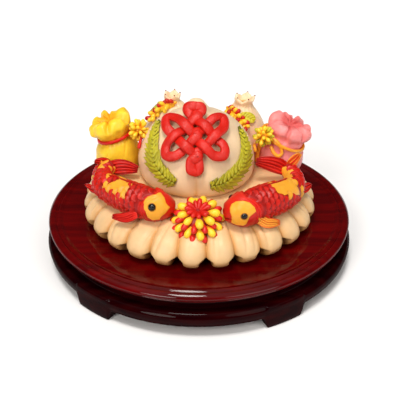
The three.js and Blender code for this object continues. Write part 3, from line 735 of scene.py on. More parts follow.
@dataclass
class Spots:
    """Places for copies of a shape, in millimetres."""

    at: list[Array] = field(default_factory=list)
    forward: list[Array] = field(default_factory=list)
    outward: list[Array] = field(default_factory=list)
    size: list[tuple[float, float, float]] = field(default_factory=list)
    tint: list[Array] = field(default_factory=list)

    def add(self, at: Array, forward: Array, outward: Array, size: tuple[float, float, float],
            tint: Array) -> None:
        """Adds a spot.

        Args:
            at: The place of the shape's root.
            forward: The direction in which the shape points.
            outward: The direction that its back faces.
            size: Half thickness, half width and length.
            tint: Its colour.
        """
        self.at.append(np.asarray(at, float))
        self.forward.append(np.asarray(forward, float))
        self.outward.append(np.asarray(outward, float))
        self.size.append(size)
        self.tint.append(np.asarray(tint, float))

    def host(self, name: str) -> bpy.types.Object:
        """Makes a mesh of loose points that carry the spots' values.

        Args:
            name: The name of what is placed on it.

        Returns:
            The object that carries the spots.
        """
        mesh = bpy.data.meshes.new(f"{name}_spots")
        mesh.from_pydata((np.array(self.at) * MM).tolist(), [], [])
        for label in ("forward", "outward", "size"):
            layer = mesh.attributes.new(label, "FLOAT_VECTOR", "POINT")
            values = np.array(getattr(self, label), float)
            layer.data.foreach_set("vector", values.ravel())
        layer = mesh.attributes.new("tint", "FLOAT_COLOR", "POINT")
        tints = np.column_stack([np.array(self.tint), np.ones(len(self.tint))])
        layer.data.foreach_set("color", tints.ravel())
        return in_scene(bpy.data.objects.new(f"{name}_spots", mesh))


WHITE = np.ones(3)
ROOT_PAINTED_SHADE = np.array([0.94, 0.58, 0.3])  # painted shade: how a shape's colour deepens towards its root


def grain_shape(sides: int = 12, rings: int = 9) -> Clay:
    """A seed-shaped petal of length one: slim at its root, plump and rounded at its tip.

    Args:
        sides: Places round the petal.
        rings: Rings along it.

    Returns:
        The petal, along +Z.
    """
    along = 0.5 - 0.5 * np.cos(np.linspace(0.08, 0.94, rings) * math.pi)
    root = 0.5  # half width at the root, as a share of the widest
    widest, blunt = 0.6, 2.4
    closing = np.clip((along - widest) / (1 - widest), 0, 1)
    wide = (root + (1 - root) * smoothstep(along, 0, 0.55)) * np.sqrt(1 - closing**blunt)
    rows = round_points(wide[:, None], directions(sides), along[:, None])
    # painted shade: each petal darkens towards its root
    shade = mixed(ROOT_PAINTED_SHADE, WHITE, np.broadcast_to(smoothstep(along, 0, 0.6)[:, None], rows.shape[:2]))
    return Clay().skin(rows, shade, np.zeros(3), np.array([0, 0, 1.0]))


def leaflet_shape() -> Clay:
    """A pointed leaflet of length one with a raised back, whose tip lifts a little.

    Returns:
        The leaflet, along +Z, with its back towards +X.
    """
    sides, rings = 10, 9
    along = np.linspace(0.03, 0.96, rings)
    wide = np.sin(np.pi * along**0.62) ** 0.85 + 0.04
    angle = directions(sides)
    y = np.cos(angle)
    x = np.where(np.sin(angle) > 0, np.sin(angle) * (1 - 0.35 * np.abs(y)), 0.45 * np.sin(angle))
    rows = np.stack([wide[:, None] * x + 0.9 * along[:, None] ** 3, wide[:, None] * y,
                     np.broadcast_to(along[:, None], (rings, sides))], axis=-1)
    # painted shade: darker towards the root and along the edges
    deep = np.maximum(smoothstep(along, 0.5, 0)[:, None], smoothstep(np.abs(y), 0.5, 1)[None])
    return Clay().skin(rows, mixed(WHITE, 0.82 * WHITE, deep), np.zeros(3), np.array([1.1, 0, 1.04]))


def scale_shape() -> Clay:
    """A fish scale of dough: a round plate whose free edge at +Z stands clear of the next row.

    Returns:
        The scale, with its back towards +X.
    """
    angle = directions(16)
    y, z = np.sin(angle), np.cos(angle)
    free = 0.5 + 0.5 * z
    rows = []
    for reach, lift in ((0.9, -0.9), (1.0, 0.2), (0.93, 0.75), (0.72, 0.95), (0.4, 0.85)):
        top = lift * (0.1 + 0.9 * free) if lift > 0 else lift
        rows.append(np.stack([np.broadcast_to(top, z.shape), reach * y, reach * z], axis=-1))
    rows = np.array(rows)
    # painted shade: darker towards the root, under the free edge of the row before
    shade = mixed(WHITE, 0.72 * WHITE, smoothstep(rows[..., 2], 0.75, -0.2))
    return Clay().skin(rows, shade, np.array([-0.9, 0, 0]), np.array([0.45, 0, 0]))


def ball(centre: Array, radius: float, sides: int, rings: int, tint: Array) -> Clay:
    """A ball.

    Args:
        centre: Its middle.
        radius: Its radius.
        sides: Places round it.
        rings: Rings from its top to its bottom.
        tint: Its colour.

    Returns:
        The ball's surface.
    """
    polar = np.linspace(0, math.pi, rings + 2)[1:-1]
    angle = directions(sides)
    rows = round_points(np.sin(polar)[:, None], angle, np.cos(polar)[:, None])
    pole = np.array([0, 0, radius])
    return Clay().skin(rows * radius + centre, tint, centre + pole, centre - pole)


def seen(points: Array) -> Array:
    """Where the viewer sees points: millimetres across and up in the plane through AIM that faces them.

    Args:
        points: Points in millimetres, in any grid.

    Returns:
        Millimetres across and up for each point.
    """
    ray = points - VIEWER
    far = ray @ unit(AIM - VIEWER)
    flat = ray * (VIEW_DISTANCE / far)[..., None] + VIEWER - AIM
    return np.stack([flat[..., 0], flat @ VIEW_UP], axis=-1)


def depth_inside(spots: Array, outline: tuple) -> Array:
    """How far spots lie inside a closed outline, or outside it as a negative number.

    Args:
        spots: Places in the plane, in any grid.
        outline: The corners of the outline in turn.

    Returns:
        The distance to the nearest edge for each spot.
    """
    corners = np.array(outline, float)
    after = np.roll(corners, -1, 0)
    edge = after - corners
    flat = spots.reshape(-1, 1, 2)
    share = np.clip(((flat - corners) * edge).sum(-1) / (edge**2).sum(-1), 0, 1)
    away = np.linalg.norm(flat - corners - share[..., None] * edge, axis=-1).min(1)
    passes = (corners[:, 1] > flat[..., 1]) != (after[:, 1] > flat[..., 1])
    rise = np.where(edge[:, 1] == 0, 1, edge[:, 1])
    crossing = corners[:, 0] + (flat[..., 1] - corners[:, 1]) * edge[:, 0] / rise
    odd = (passes & (flat[..., 0] < crossing)).sum(1) % 2 == 1
    return np.where(odd, away, -away).reshape(spots.shape[:-1])


class Sight:
    """The viewer's sight of the pieces that carry a topping."""

    def __init__(self, *carriers: Clay) -> None:
        """Prepares the carriers for looking at them."""
        self.trees = [carrier.tree() for carrier in carriers]

    def seat(self, across: float, up: float) -> tuple[Array, Array]:
        """Finds where a spot that the viewer sees lies on the carriers.

        A spot just past their outline is drawn in towards their middle until it meets them.

        Args:
            across: Millimetres to the right in the plane through AIM that faces the viewer.
            up: Millimetres up in it.

        Returns:
            The point on the nearest carrier and its outward direction there.
        """
        for pull in np.arange(0, 0.5, 0.01):
            through = AIM + VIEW_UP * (up * (1 - pull) + MIDDLE_UP * pull)
            through = through + np.array([across * (1 - pull), 0, 0])
            ray = unit(through - VIEWER)
            hits = [tree.ray_cast(Vector(VIEWER), Vector(ray)) for tree in self.trees]
            met = [hit for hit in hits if hit[0] is not None]
            if met:
                point, normal, _, _ = min(met, key=lambda hit: hit[3])
                normal = np.array(normal)
                return np.array(point), normal if normal @ ray < 0 else -normal
        raise ValueError(f"nothing is seen at {across}, {up}")

    def laid(self, line: tuple | Array, lift: float = 0.0) -> tuple[Array, Array]:
        """Lays a line on the carriers.

        Args:
            line: Places across and up.
            lift: How far above the carriers it stays.

        Returns:
            Its points, and the outward direction at each.
        """
        points, normals = (np.array(part) for part in zip(*(self.seat(*spot) for spot in line)))
        return points + normals * lift, normals


def beside(middle: Array, way: Array, reach: Array) -> Array:
    """Places in the viewer's plane at reaches to the left of a point on a line."""
    return np.column_stack([middle[0] - way[1] * reach, middle[1] + way[0] * reach])


def tube(line: Array, radius: float | Array, tint: Array, sides: int = 12) -> Clay:
    """A rope of dough along a line, rounded at both ends.

    Args:
        line: Points along its middle.
        radius: Its radius, or one at each point.
        tint: Its colour.
        sides: Places round it.

    Returns:
        The rope's surface.
    """
    ahead = unit(np.gradient(line, axis=0))
    side = unit(np.cross(ahead, np.broadcast_to(VIEWER - AIM, line.shape)))
    back = np.cross(side, ahead)
    radius = np.broadcast_to(radius, len(line))
    angle = directions(sides)
    cap = np.array([0.35, 0.7, 0.92])  # the girth of each ring of a rounded end
    blunt = 0.9
    starts = line[0] - ahead[0] * (radius[0] * np.sqrt(1 - cap**2))[:, None] * blunt
    ends = line[-1] + ahead[-1] * (radius[-1] * np.sqrt(1 - cap[::-1] ** 2))[:, None] * blunt
    centre = np.concatenate([starts, line, ends])
    girth = np.concatenate([radius[0] * cap, radius, radius[-1] * cap[::-1]])
    side, back = (np.concatenate([way[:1]] * len(cap) + [way] + [way[-1:]] * len(cap))
                  for way in (side, back))
    rings = (centre[:, None] + (girth[:, None] * np.cos(angle))[..., None] * side[:, None]
             + (girth[:, None] * np.sin(angle))[..., None] * back[:, None])
    first = line[0] - ahead[0] * radius[0] * blunt
    last = line[-1] + ahead[-1] * radius[-1] * blunt
    return Clay().skin(rings, tint, first, last)


# ---------------------------------------------------------------- the stand
@dataclass
class Stand:
    """The round lacquered stand: a board with a beaded rim, a hollow waist and an apron on feet."""

    board_top: float = 49.0
    board_thick: float = 8.0
    board_radius: float = 171.5
    waist_radius: float = 161.5
    apron_top: float = 29.0
    apron_bottom: float = 13.5
    legs: int = 5
    first_leg: float = math.radians(-58.5)
    leg_half: float = math.radians(7)
    sides: int = 320

    def board(self) -> Clay:
        """The board, with two rounded beads and the groove between them.

        Returns:
            Its surface.
        """
        r, z = self.board_radius, self.board_top
        low = z - self.board_thick
        edge = Course([(r - 13, low), (r - 9, low + 0.3), (r - 4, low + 1.5), (r - 1.2, low + 2.6),
                       (r - 1.9, low + 3.6), (r - 0.4, z - 3), (r - 0.8, z - 1), (r - 2.5, z + 0.7),
                       (r - 4.6, z + 1.9), (r - 6.5, z + 2), (r - 8.2, z + 1.1), (r - 9.5, z + 0.3),
                       (r - 11, z + 1.2), (r - 12.6, z + 1.9), (r - 14.4, z + 1.2), (r - 17, z + 0.1),
                       (r - 21, z)]).at(np.linspace(0, 1, 81))
        return turned(np.concatenate([[(0, low), (r - 40, low)], edge, [(r - 60, z), (0, z)]]),
                      self.sides, WHITE)

    def waist(self) -> Clay:
        """The hollow moulding between the board and the apron.

        Returns:
            Its surface.
        """
        r = self.waist_radius
        top = self.board_top - self.board_thick - GAP
        low = self.apron_top + GAP
        face = Course([(r, low), (r - 0.4, low + 1), (r - 2.5, (low + top) / 2), (r - 0.4, top - 1),
                       (r, top)]).at(np.linspace(0, 1, 25))
        return turned(np.concatenate([[(r - 11.5, low)], face, [(r - 11.5, top)]]), self.sides, WHITE)

    def leg_share(self, angle: Array) -> Array:
        """How much leg there is at each direction, from 0 between the legs to 1 on one.

        Args:
            angle: Directions round the stand, in radians.

        Returns:
            The share for each direction.
        """
        pitch = FULL_TURN / self.legs
        away = np.abs((angle - self.first_leg + pitch / 2) % pitch - pitch / 2) / self.leg_half
        return np.interp(away, [1.0, 1.06, 1.12, 1.2, 1.3], [1, 0.78, 0.4, 0.12, 0])

    def apron(self) -> Clay:
        """The apron ring with its bulging shoulders, flowing down into the feet.

        Returns:
            Its surface.
        """
        top, low = self.apron_top, self.apron_bottom
        pitch = FULL_TURN / self.legs
        edge = np.linspace(0.96, 1.34, 14) * self.leg_half
        one = np.concatenate([np.linspace(-0.9, 0.9, 13) * self.leg_half, edge,
                              np.linspace(edge[-1], pitch - edge[-1], 40)[1:-1], pitch - edge[::-1]])
        angle = np.concatenate([self.first_leg + n * pitch + one for n in range(self.legs)])
        share = self.leg_share(angle)
        rings = []
        for a, amount in zip(angle, share):
            foot = low * (1 - amount)
            face = Course([(166, top), (169, top - 0.5), (171.2 + 2.2 * amount, top - 2.2),
                           (173.2 + 0.8 * amount, top - 5), (173.6, top - 8.5),
                           (172.6 + 0.9 * amount, low * (1 - 0.5 * amount) + 3),
                           (172.2 + 0.6 * amount, low * (1 - 0.8 * amount) + 0.8),
                           (171.4, foot)]).at(np.linspace(0, 1, 29))
            section = np.concatenate([[(158, top)], face, [(160.5, foot), (159.5, foot + 0.8)]])
            rings.append(round_points(section[:, 0], a, section[:, 1]))
        return Clay().skin(np.array(rings), WHITE)

    def build(self, finishes: Finishes) -> None:
        """Makes and dresses the three turned and carved pieces.

        Args:
            finishes: The finishes by slot.
        """
        for name, clay in (("board", self.board()), ("waist", self.waist()), ("apron", self.apron())):
            # the waist and the apron take the lacquer darkened as painted shade
            finish = finishes[Slot.WOOD if name == "board" else Variant.LOW_WOOD_IN_PAINTED_SHADE]
            piece = clay.piece(f"lacquered_{name}", finish, crease=42)
            dressed(piece, Slot.WOOD, f"stand_{name}")


# ---------------------------------------------------------------- the plain buns
@dataclass
class BaseBun:
    """The base bun: a ring of plump petals pressed side by side, each grooved and tucked in below.

    Places on the profile count from 0 at its first point, and places on a petal run from -1 to 1.
    """

    petals: int = 26
    first_notch: float = math.radians(-86.4)
    per_petal: int = 40
    top: float = 88.5
    # radius, height and depth of the crease between petals, from the foot to the top
    profile: tuple = ((116, 49.35, 11), (127, 55, 15), (131, 62, 12), (128, 71, 8.6), (120.5, 79.5, 6.4),
                      (109, 85, 4.6), (94, 88.5, 1))
    crease_power: float = 2.8
    groove_places: tuple = (-0.5, 0.0, 0.45)
    groove_depth: float = 1.7
    groove_width: float = 0.15
    groove_drift: float = 0.2
    groove_lean: float = 0.16
    swell_range: tuple = (-1.2, 1.4)
    notch_range: tuple = (0.44, 0.64)  # where on a petal its tucked corners start
    tuck_shares: tuple = (0.25, 0.8, 1.0, 1.0)  # what is drawn from, for each corner
    tuck_depth: float = 18.0
    tuck_rise: float = 4.0
    lump_size: float = 17.0
    lump_depth: float = 0.5
    dent: tuple = (64.5, 1.5)  # the middle of a thumb's dent beside the peach
    dent_depth: float = 2.2
    dent_reach: float = 4.0
    steps: int = 66

    def clay(self) -> Clay:
        """The petals' skin and the flat top inside them.

        Returns:
            Its surface.
        """
        draw = np.random.default_rng(SEED)
        v = np.linspace(0, len(self.profile) - 1, self.steps)
        line = Course(self.profile).at(v / (len(self.profile) - 1))
        slope = unit(np.gradient(line[:, :2], axis=0))
        out_r, out_z = slope[:, 1], -slope[:, 0]
        j = np.arange(self.petals * self.per_petal)
        petal = j // self.per_petal
        phi = 2 * (j % self.per_petal) / self.per_petal - 1
        rim = np.abs(phi)
        nearly = 0.997  # stops the crease short of its endlessly steep bottom
        crease = 1 - np.sqrt(np.maximum(1 - (nearly * rim) ** self.crease_power, 0))
        cut = line[:, 2][:, None] * crease[None]
        low = v[:, None]  # counts the profile's points upwards from the foot
        half = (phi > 0).astype(int)
        corner = draw.choice(self.tuck_shares, (self.petals, 2))[petal, half]
        notch = draw.uniform(*self.notch_range, (self.petals, 2))[petal, half]
        edge = notch + 0.6 * smoothstep(low, 1.9, 2.9)
        tucked = smoothstep(rim[None] - edge, -0.04, 0.1) * smoothstep(low, 2.9, 2.6) * corner
        long = smoothstep(low, 1.6, 3.4) * smoothstep(low, 6.2, 5.4)
        bend = draw.uniform(-self.groove_lean, self.groove_lean, self.petals)[petal] * (low - 3)
        for place in self.groove_places:
            middle = place + draw.uniform(-self.groove_drift, self.groove_drift, self.petals)[petal]
            depth = self.groove_depth * draw.uniform(0, 1.0, self.petals)[petal] ** 2
            cut = cut + depth * bell(phi[None] - middle - bend, self.groove_width) * long
        swell = draw.uniform(*self.swell_range, self.petals)[petal] * (1 - crease)
        cut = cut - swell[None] * smoothstep(low, 0.2, 2) * smoothstep(low, 6, 5)
        radius = line[:, 0][:, None] - out_r[:, None] * cut - self.tuck_depth * tucked
        height = line[:, 1][:, None] - out_z[:, None] * cut
        height = height + self.tuck_rise * tucked * smoothstep(low, 0.0, 0.4) * smoothstep(low, 2, 0.6)
        angle = self.first_notch + FULL_TURN * j / len(j)
        rings = round_points(radius, angle, height)
        lumps = unevenness(rings, self.lump_size)[..., None] * self.lump_depth
        rings[2:] += lumps[2:] * np.array([0.7, 0.7, 0.5])
        # painted shade: darker in the creases between the petals and towards their foot
        hollow = np.clip(crease[None] ** 0.8 * smoothstep(low, 6.1, 4.7), 0, 1)
        tint = mixed(BASE_CREAM_WITH_PAINTED_SHADE, CREAM_PAINTED_SHADE, hollow + 0.7 * smoothstep(low, 3.0, 0.9))
        # painted shade: deep brown in the recesses of the tucked corners
        tint = mixed(tint, 0.4 * CREAM_PAINTED_DEEP_SHADE, 0.95 * tucked)
        inner = np.linspace(1, 0, 16)[1:-1]
        disc = rings[-1][None] * np.array([1, 1, 0]) * inner[:, None, None]
        disc[..., 2] = self.top + (rings[-1][None, :, 2] - self.top) * inner[:, None] ** 2
        off = disc[..., :2] - np.array(self.dent)
        longer = 1.5  # the dent is this much longer than wide
        away = np.hypot(off[..., 0] / longer, off[..., 1])
        disc[..., 2] -= self.dent_depth * bell(away, self.dent_reach)
        rings = np.concatenate([rings, disc])
        tint = np.concatenate([tint, np.broadcast_to(BASE_CREAM_WITH_PAINTED_SHADE, disc.shape)])
        foot = np.array([0, 0, self.profile[0][1]])
        return Clay().skin(rings, tint, foot, np.array([0, 0, self.top]))

    def build(self, finishes: Finishes) -> None:
        """Makes and dresses the base bun."""
        dressed(self.clay().piece("petalled_base", finishes[Slot.CREAM]), Slot.CREAM, "base_bun")


@dataclass
class PeachBun:
    """The longevity peach: a plump bun with a soft cleft and a blunt tip."""

    x: float = -2.8
    y: float = 17.0
    back_depth: float = 0.9
    cleft: float = 3.2
    cleft_parts: tuple = ((0.55, 0.045), (0.6, 0.17))  # share of it and half width: floor and flanks
    cleft_fade: float = 20.0  # the peach's radius below which the cleft runs out
    tip: float = 180.0
    profile: tuple = ((40, 86), (58, 87.5), (64, 94), (65.8, 103), (65, 114), (61, 126), (54.5, 138),
                      (46, 148), (35, 156), (24, 161.5), (16, 166.5), (11.5, 172), (7, 177.5))
    dimple: tuple = (0.8, 116.5)  # millimetres beside the cleft, and height
    dimple_depth: float = 2.0
    dimple_reach: float = 2.4
    face_radius: float = 60.0  # of the front at the dimple
    lump_size: float = 30.0
    lump_depth: float = 0.6
    sides: int = 220
    steps: int = 110

    def clay(self) -> Clay:
        """The peach's skin.

        Returns:
            Its surface.
        """
        line = Course([*self.profile, (0.05, self.tip)]).at(np.linspace(0, 0.995, self.steps))
        angle = directions(self.sides) - math.pi / 2
        round_to = (angle + math.pi / 2 + math.pi) % FULL_TURN - math.pi
        radius, height = line[:, 0][:, None], line[:, 1][:, None]
        share = np.minimum(1, radius / self.cleft_fade)
        groove = self.cleft * share * sum(part * bell(round_to, wide) for part, wide in self.cleft_parts)
        depth = np.where(np.sin(angle) > 0, self.back_depth, 1.0)
        r = radius - groove
        rings = np.stack([self.x + r * np.cos(angle), self.y + r * np.sin(angle) * depth,
                          np.broadcast_to(height, r.shape)], axis=-1)
        lumps = self.lump_depth * unevenness(rings, self.lump_size, 4.0)[..., None]
        rings[2:] += lumps[2:] * np.array([1, 1, 0.3])
        away = np.hypot(round_to * self.face_radius - self.dimple[0], height - self.dimple[1])
        rings[..., 1] += self.dimple_depth * bell(away, self.dimple_reach)
        # painted shade: darker towards the bottom and along the cleft
        shade = 0.4 * smoothstep(height, 110, 88) + 0.4 * bell(round_to, 0.03) * share
        tint = mixed(CREAM, CREAM_PAINTED_SHADE, shade)
        # painted shade: deep brown in the dimple
        tint = mixed(tint, CREAM_PAINTED_DEEP_SHADE, 0.8 * bell(away, 1.7))
        foot = np.array([self.x, self.y, self.profile[0][1]])
        return Clay().skin(rings, tint, foot, np.array([self.x, self.y, self.tip]))


@dataclass
class Pomegranate:
    """A crowned pomegranate-shaped bun behind the peach, with dark-red dots round its crown."""

    side: Side
    x: float
    y: float
    lean: float
    girth: float
    crown: float
    top: float
    foot: float = 81.0
    points: int = 5
    ripple: float = 1.6
    neck_lines: int = 17
    neck_line_depth: float = 0.35
    lump_size: float = 22.0
    lump_depth: float = 0.45
    dot: float = 0.85
    profile: tuple = ((0.6, 0), (0.93, 0.12), (1, 0.26), (0.95, 0.4), (0.82, 0.54), (0.62, 0.68),
                      (0.42, 0.8))
    sides: int = 120

    def line(self) -> Array:
        """Radius, height and ripple from the foot to the floor of the crown.

        Returns:
            A row of the three for each station.
        """
        rim, crown, height = self.top - 2, self.crown, self.top - self.foot
        body = [(self.girth * share, self.foot + height * rise, 0) for share, rise in self.profile]
        neck = [(crown * 0.92, self.top - 9, 0), (crown, rim - 1.2, 0.8 * self.ripple),
                (crown * 0.93, rim + 0.6, self.ripple), (crown * 0.72, rim - 0.4, self.ripple),
                (crown * 0.45, self.top - 7, 0), (crown * 0.15, self.top - 7.5, 0)]
        return Course(body + neck).at(np.linspace(0, 1, 96))

    def clay(self) -> Clay:
        """The bun's skin, with the ragged crown round its hollow top.

        Returns:
            Its surface.
        """
        angle = directions(self.sides)
        line = self.line()
        wave = np.cos(self.points * angle) + 0.25 * np.cos(3 * self.points * angle)
        radius, height, ripple = (line[:, k][:, None] for k in range(3))
        rise = (height - self.foot) / (self.top - self.foot)
        r = radius + 0.3 * ripple * wave
        below_crown = smoothstep(rise, 0.7, 0.86) * (ripple < 0.1)
        r = r + self.neck_line_depth * np.cos(self.neck_lines * angle) * below_crown
        rings = np.stack([self.x + self.lean * rise**2 + r * np.cos(angle),
                          self.y + r * np.sin(angle), height + ripple * wave], axis=-1)
        lumps = self.lump_depth * unevenness(rings, self.lump_size, self.x)[..., None]
        rings[2:] += lumps[2:] * np.array([1, 1, 0.3])
        # painted shade inside the crown's hollow
        inside = smoothstep(np.arange(len(line))[:, None], 84, 92)
        tint = mixed(CREAM, CREAM_PAINTED_SHADE, np.broadcast_to(0.9 * inside, r.shape))
        floor = np.array([self.x + self.lean, self.y, self.top - 7.5])
        return Clay().skin(rings, tint, np.array([self.x, self.y, self.foot]), floor)

    def build(self, finishes: Finishes, placing: Placing) -> Clay:
        """Makes and dresses the bun and the dots on the points of its crown.

        Args:
            finishes: The finishes by slot.
            placing: Places the repeated shapes.

        Returns:
            The bun's surface, for what lies on it.
        """
        clay = self.clay()
        body = clay.piece(f"pomegranate_bun_{self.side.value}", finishes[Slot.CREAM])
        dots = Spots()
        for n in range(self.points):
            angle = FULL_TURN * n / self.points
            out = self.crown * 0.95
            at = np.array([self.x + self.lean + out * math.cos(angle), self.y + out * math.sin(angle),
                           self.top - 1.2 + self.ripple])
            dots.add(at, np.array([0, 0, 1.0]), np.array([1.0, 0, 0]), (self.dot,) * 3, DOT_RED)
        marks = placing.placed("crown_dots", dots, ball(np.zeros(3), 1.0, 10, 6, WHITE), finishes[Slot.RED])
        piece = joined(f"pomegranate_bun_{self.side.value}", [body, marks])
        dressed(piece, Slot.CREAM, f"pomegranate_{self.side.value}")
        return clay


# ---------------------------------------------------------------- the money bags
@dataclass
class MoneyBag:
    """A tied bag of dough: a round belly, a cinched neck and a gathered mouth of knobs above it.

    Heights run from 0 at the foot through 1 at the band to 2 at the top. Each knob of the mouth has a
    direction and a reach in degrees, and pushes the rim some millimetres out and up.
    """

    name: str
    x: float
    y: float
    girth: float
    neck: float
    top: float
    band: float
    lean: float
    tilt: float
    knobs: tuple
    slot: Slot
    tint: Array
    # the colour painted as shade
    shade: Array
    band_name: str
    band_slot: Slot
    band_tint: Array
    foot: float = 82.0
    mouth: float = 18.5
    floor: float = 1.9
    band_radius: float = 1.9
    valley_depth: float = 2.8
    valley_drop: float = 3.0
    gather_pleats: tuple = (0.35, 17, 2, 3)  # depth, count, drift and bends, under the band
    mouth_pleats: tuple = (0.45, 13, 1.3, 2)  # the same above it
    # two thumb creases: turn, lean, where the lean starts, height, half width, half height, depth
    dents: tuple = ((-0.42, 0.7, 0.6, 0.6, 0.05, 0.13, 1.0), (0.5, 0.9, 0.7, 0.72, 0.06, 0.1, 0.9))
    furrow: float = 0.28  # between the band's two strands, of its radius
    skin_lumps: tuple = (13.0, 0.8)  # size and depth, all over
    mouth_lumps: tuple = (8.0, 2.0)  # the same on the mouth
    profile: tuple = ((0, "girth", 0.75, 0), (0.13, "girth", 0.96, 0), (0.33, "girth", 1, 0),
                      (0.55, "girth", 0.98, 0), (0.8, "girth", 0.88, 0), (1, "neck", 1, 0.05),
                      (1.27, "top", 0.92, 0.35), (1.6, "top", 1.03, 0.75), (1.92, "top", 0.92, 1),
                      (2.08, "top", 0.55, 0.95), (2.0, "top", 0.2, 0.75))
    sides: int = 200

    def station(self, height: Array) -> tuple[Array, Array]:
        """The middle and the tilt of the bag's section at heights above its foot.

        Args:
            height: Heights on the bag.

        Returns:
            The middles, and the tilts in radians.
        """
        turn = smoothstep(height, 0.4, 1)
        above = np.maximum(height - 1, 0) * self.mouth
        centre = np.stack([self.x + self.lean * turn + above * math.sin(self.tilt),
                           np.full_like(turn, self.y),
                           self.foot + np.minimum(height, 1) * self.band
                           + above * math.cos(self.tilt)], axis=-1)
        return centre, self.tilt * turn

    def placed(self, local: Array, height: Array) -> Array:
        """Turns points of level sections to the bag's tilt and puts them at their heights.

        Args:
            local: Points of the sections, a row for each.
            height: The height of each section.

        Returns:
            The points in the frame.
        """
        centre, tilt = self.station(height)
        c, s = np.cos(tilt)[:, None], np.sin(tilt)[:, None]
        x, y, z = local[..., 0], local[..., 1], local[..., 2]
        return np.stack([x * c + z * s, y, -x * s + z * c], axis=-1) + centre[:, None]

    def folds(self, angle: Array) -> tuple[Array, Array, Array]:
        """How far the mouth's knobs push out and up, and the depth of the valleys between them.

        Args:
            angle: Directions round the bag, in radians.

        Returns:
            Millimetres out and up, and the depth of the valleys as a share.
        """
        degrees = np.degrees(angle)
        out, up, valley = np.zeros_like(angle), np.zeros_like(angle), np.zeros_like(angle)
        order = sorted(self.knobs)
        for n, (direction, reach, push, lift) in enumerate(order):
            away = (degrees - direction + 180) % 360 - 180
            out += push * bell(away, reach)
            up += lift * bell(away, reach)
            gap = (order[(n + 1) % len(order)][0] - direction) % 360
            between = (degrees - direction - gap / 2 + 180) % 360 - 180
            valley += bell(between, 4 + 0.05 * gap)
        return out, up, valley

    def clay(self) -> Clay:
        """The bag's skin.

        Returns:
            Its surface.
        """
        control = [(height, getattr(self, which) * share, knob)
                   for height, which, share, knob in self.profile]
        line = Course(control).at(np.linspace(0, 1, 130))
        height, radius, knob = (line[:, k][:, None] for k in range(3))
        angle = directions(self.sides)
        out, up, valley = self.folds(angle)
        gather = smoothstep(height, 1.14, 0.98) * smoothstep(height, 0.72, 0.97)
        pleats = pleated(angle, *self.gather_pleats) * gather
        above = smoothstep(height, 1.02, 1.2) * smoothstep(height, 1.75, 1.35)
        pleats = pleats + pleated(angle, *self.mouth_pleats) * above
        front = (angle - 1.5 * math.pi + math.pi) % FULL_TURN - math.pi
        dents = sum(depth * bell(front - turn - lean * (height - root), wide) * bell(height - at, tall)
                    for turn, lean, root, at, wide, tall, depth in self.dents)
        r = radius + out * knob + pleats - dents - self.valley_depth * valley * knob
        lift = (up - self.valley_drop * valley) * knob
        local = round_points(r, angle, lift)
        rings = self.placed(local, line[:, 0])
        size, depth = self.skin_lumps
        rings[2:] += depth * unevenness(rings, size, self.x)[2:, :, None]
        size, depth = self.mouth_lumps
        lumps = depth * unevenness(rings, size, self.x + 3)[..., None] * knob[..., None]
        rings[2:] += lumps[2:] * np.array([0.8, 0.8, 1.0])
        # painted shade: in the valleys between the knobs, at the neck under the band, inside the mouth and
        # low on the belly
        deep = 0.8 * np.clip(valley, 0, 1) * knob + 0.6 * bell(height - 1, 0.07)
        inner = smoothstep(np.arange(len(line))[:, None], 112, 126)
        low = 0.4 * smoothstep(height, 0.3, 0.02) + 0.08 * smoothstep(height, 1.4, 1.1)
        tint = mixed(self.tint, self.shade, 0.6 * deep + 0.9 * inner + low * (height > 0))
        foot = np.array([self.x, self.y, self.foot])
        last = self.station(np.array([self.floor]))[0][0]
        return Clay().skin(rings, tint, foot, last)

    def tie(self) -> Clay:
        """The band tied round the neck.

        Returns:
            Its surface.
        """
        angle = directions(160)
        round_it = directions(14)
        reach = self.neck + self.band_radius + 2 * GAP
        thick = self.band_radius * (1 + 0.08 * np.cos(3 * angle))
        r = reach + thick[:, None] * np.cos(round_it)
        r = r - self.furrow * self.band_radius * bell(round_it - 0.3, 0.35)
        wave = 0.4 * np.sin(2 * angle)[:, None]
        local = round_points(r, angle[:, None], thick[:, None] * np.sin(round_it) + wave)
        return Clay().skin(self.placed(local, np.ones(len(angle))), self.band_tint)

    def build(self, finishes: Finishes) -> Clay:
        """Makes and dresses the bag and its band.

        Args:
            finishes: The finishes by slot.

        Returns:
            The bag's surface, for what lies on it.
        """
        clay = self.clay()
        dressed(clay.piece(f"tied_bag_{self.name}", finishes[self.slot]), self.slot,
                f"bag_{self.name}")
        band = self.tie().piece(f"neck_band_{self.band_name}", finishes[self.band_slot])
        dressed(band, self.band_slot, f"band_{self.band_name}")
        return clay


@dataclass
class Ribbon:
    """A loose ribbon end of dough laid on the bag and the peach."""

    name: str
    line: tuple
    slot: Slot
    tint: Array
    radius: float

    def build(self, finishes: Finishes, sight: Sight) -> None:
        """Makes and dresses the ribbon end.

        Args:
            finishes: The finishes by slot.
            sight: The viewer's sight of the pieces under it.
        """
        points, _ = sight.laid(self.line, self.radius + 2 * GAP)
        shares = np.linspace(0, 1, 10 * len(points))
        course = Course(points).at(shares)
        rolled = self.radius * (1 + 0.1 * np.sin(shares * 9))  # uneven, as rolled by hand
        clay = tube(course, rolled, self.tint, sides=14)
        dressed(clay.piece(f"tie_{self.name}", finishes[self.slot]), self.slot, f"ribbon_{self.name}")


# ---------------------------------------------------------------- the koi
@dataclass
class Patch:
    """A yellow patch on a koi, outlined in millimetres as the viewer sees it.

    Above a height on it no scales are carved, and its edge wanders by some millimetres.
    """

    outline: tuple
    smooth_above: float = -100.0
    ragged: float = 0.8


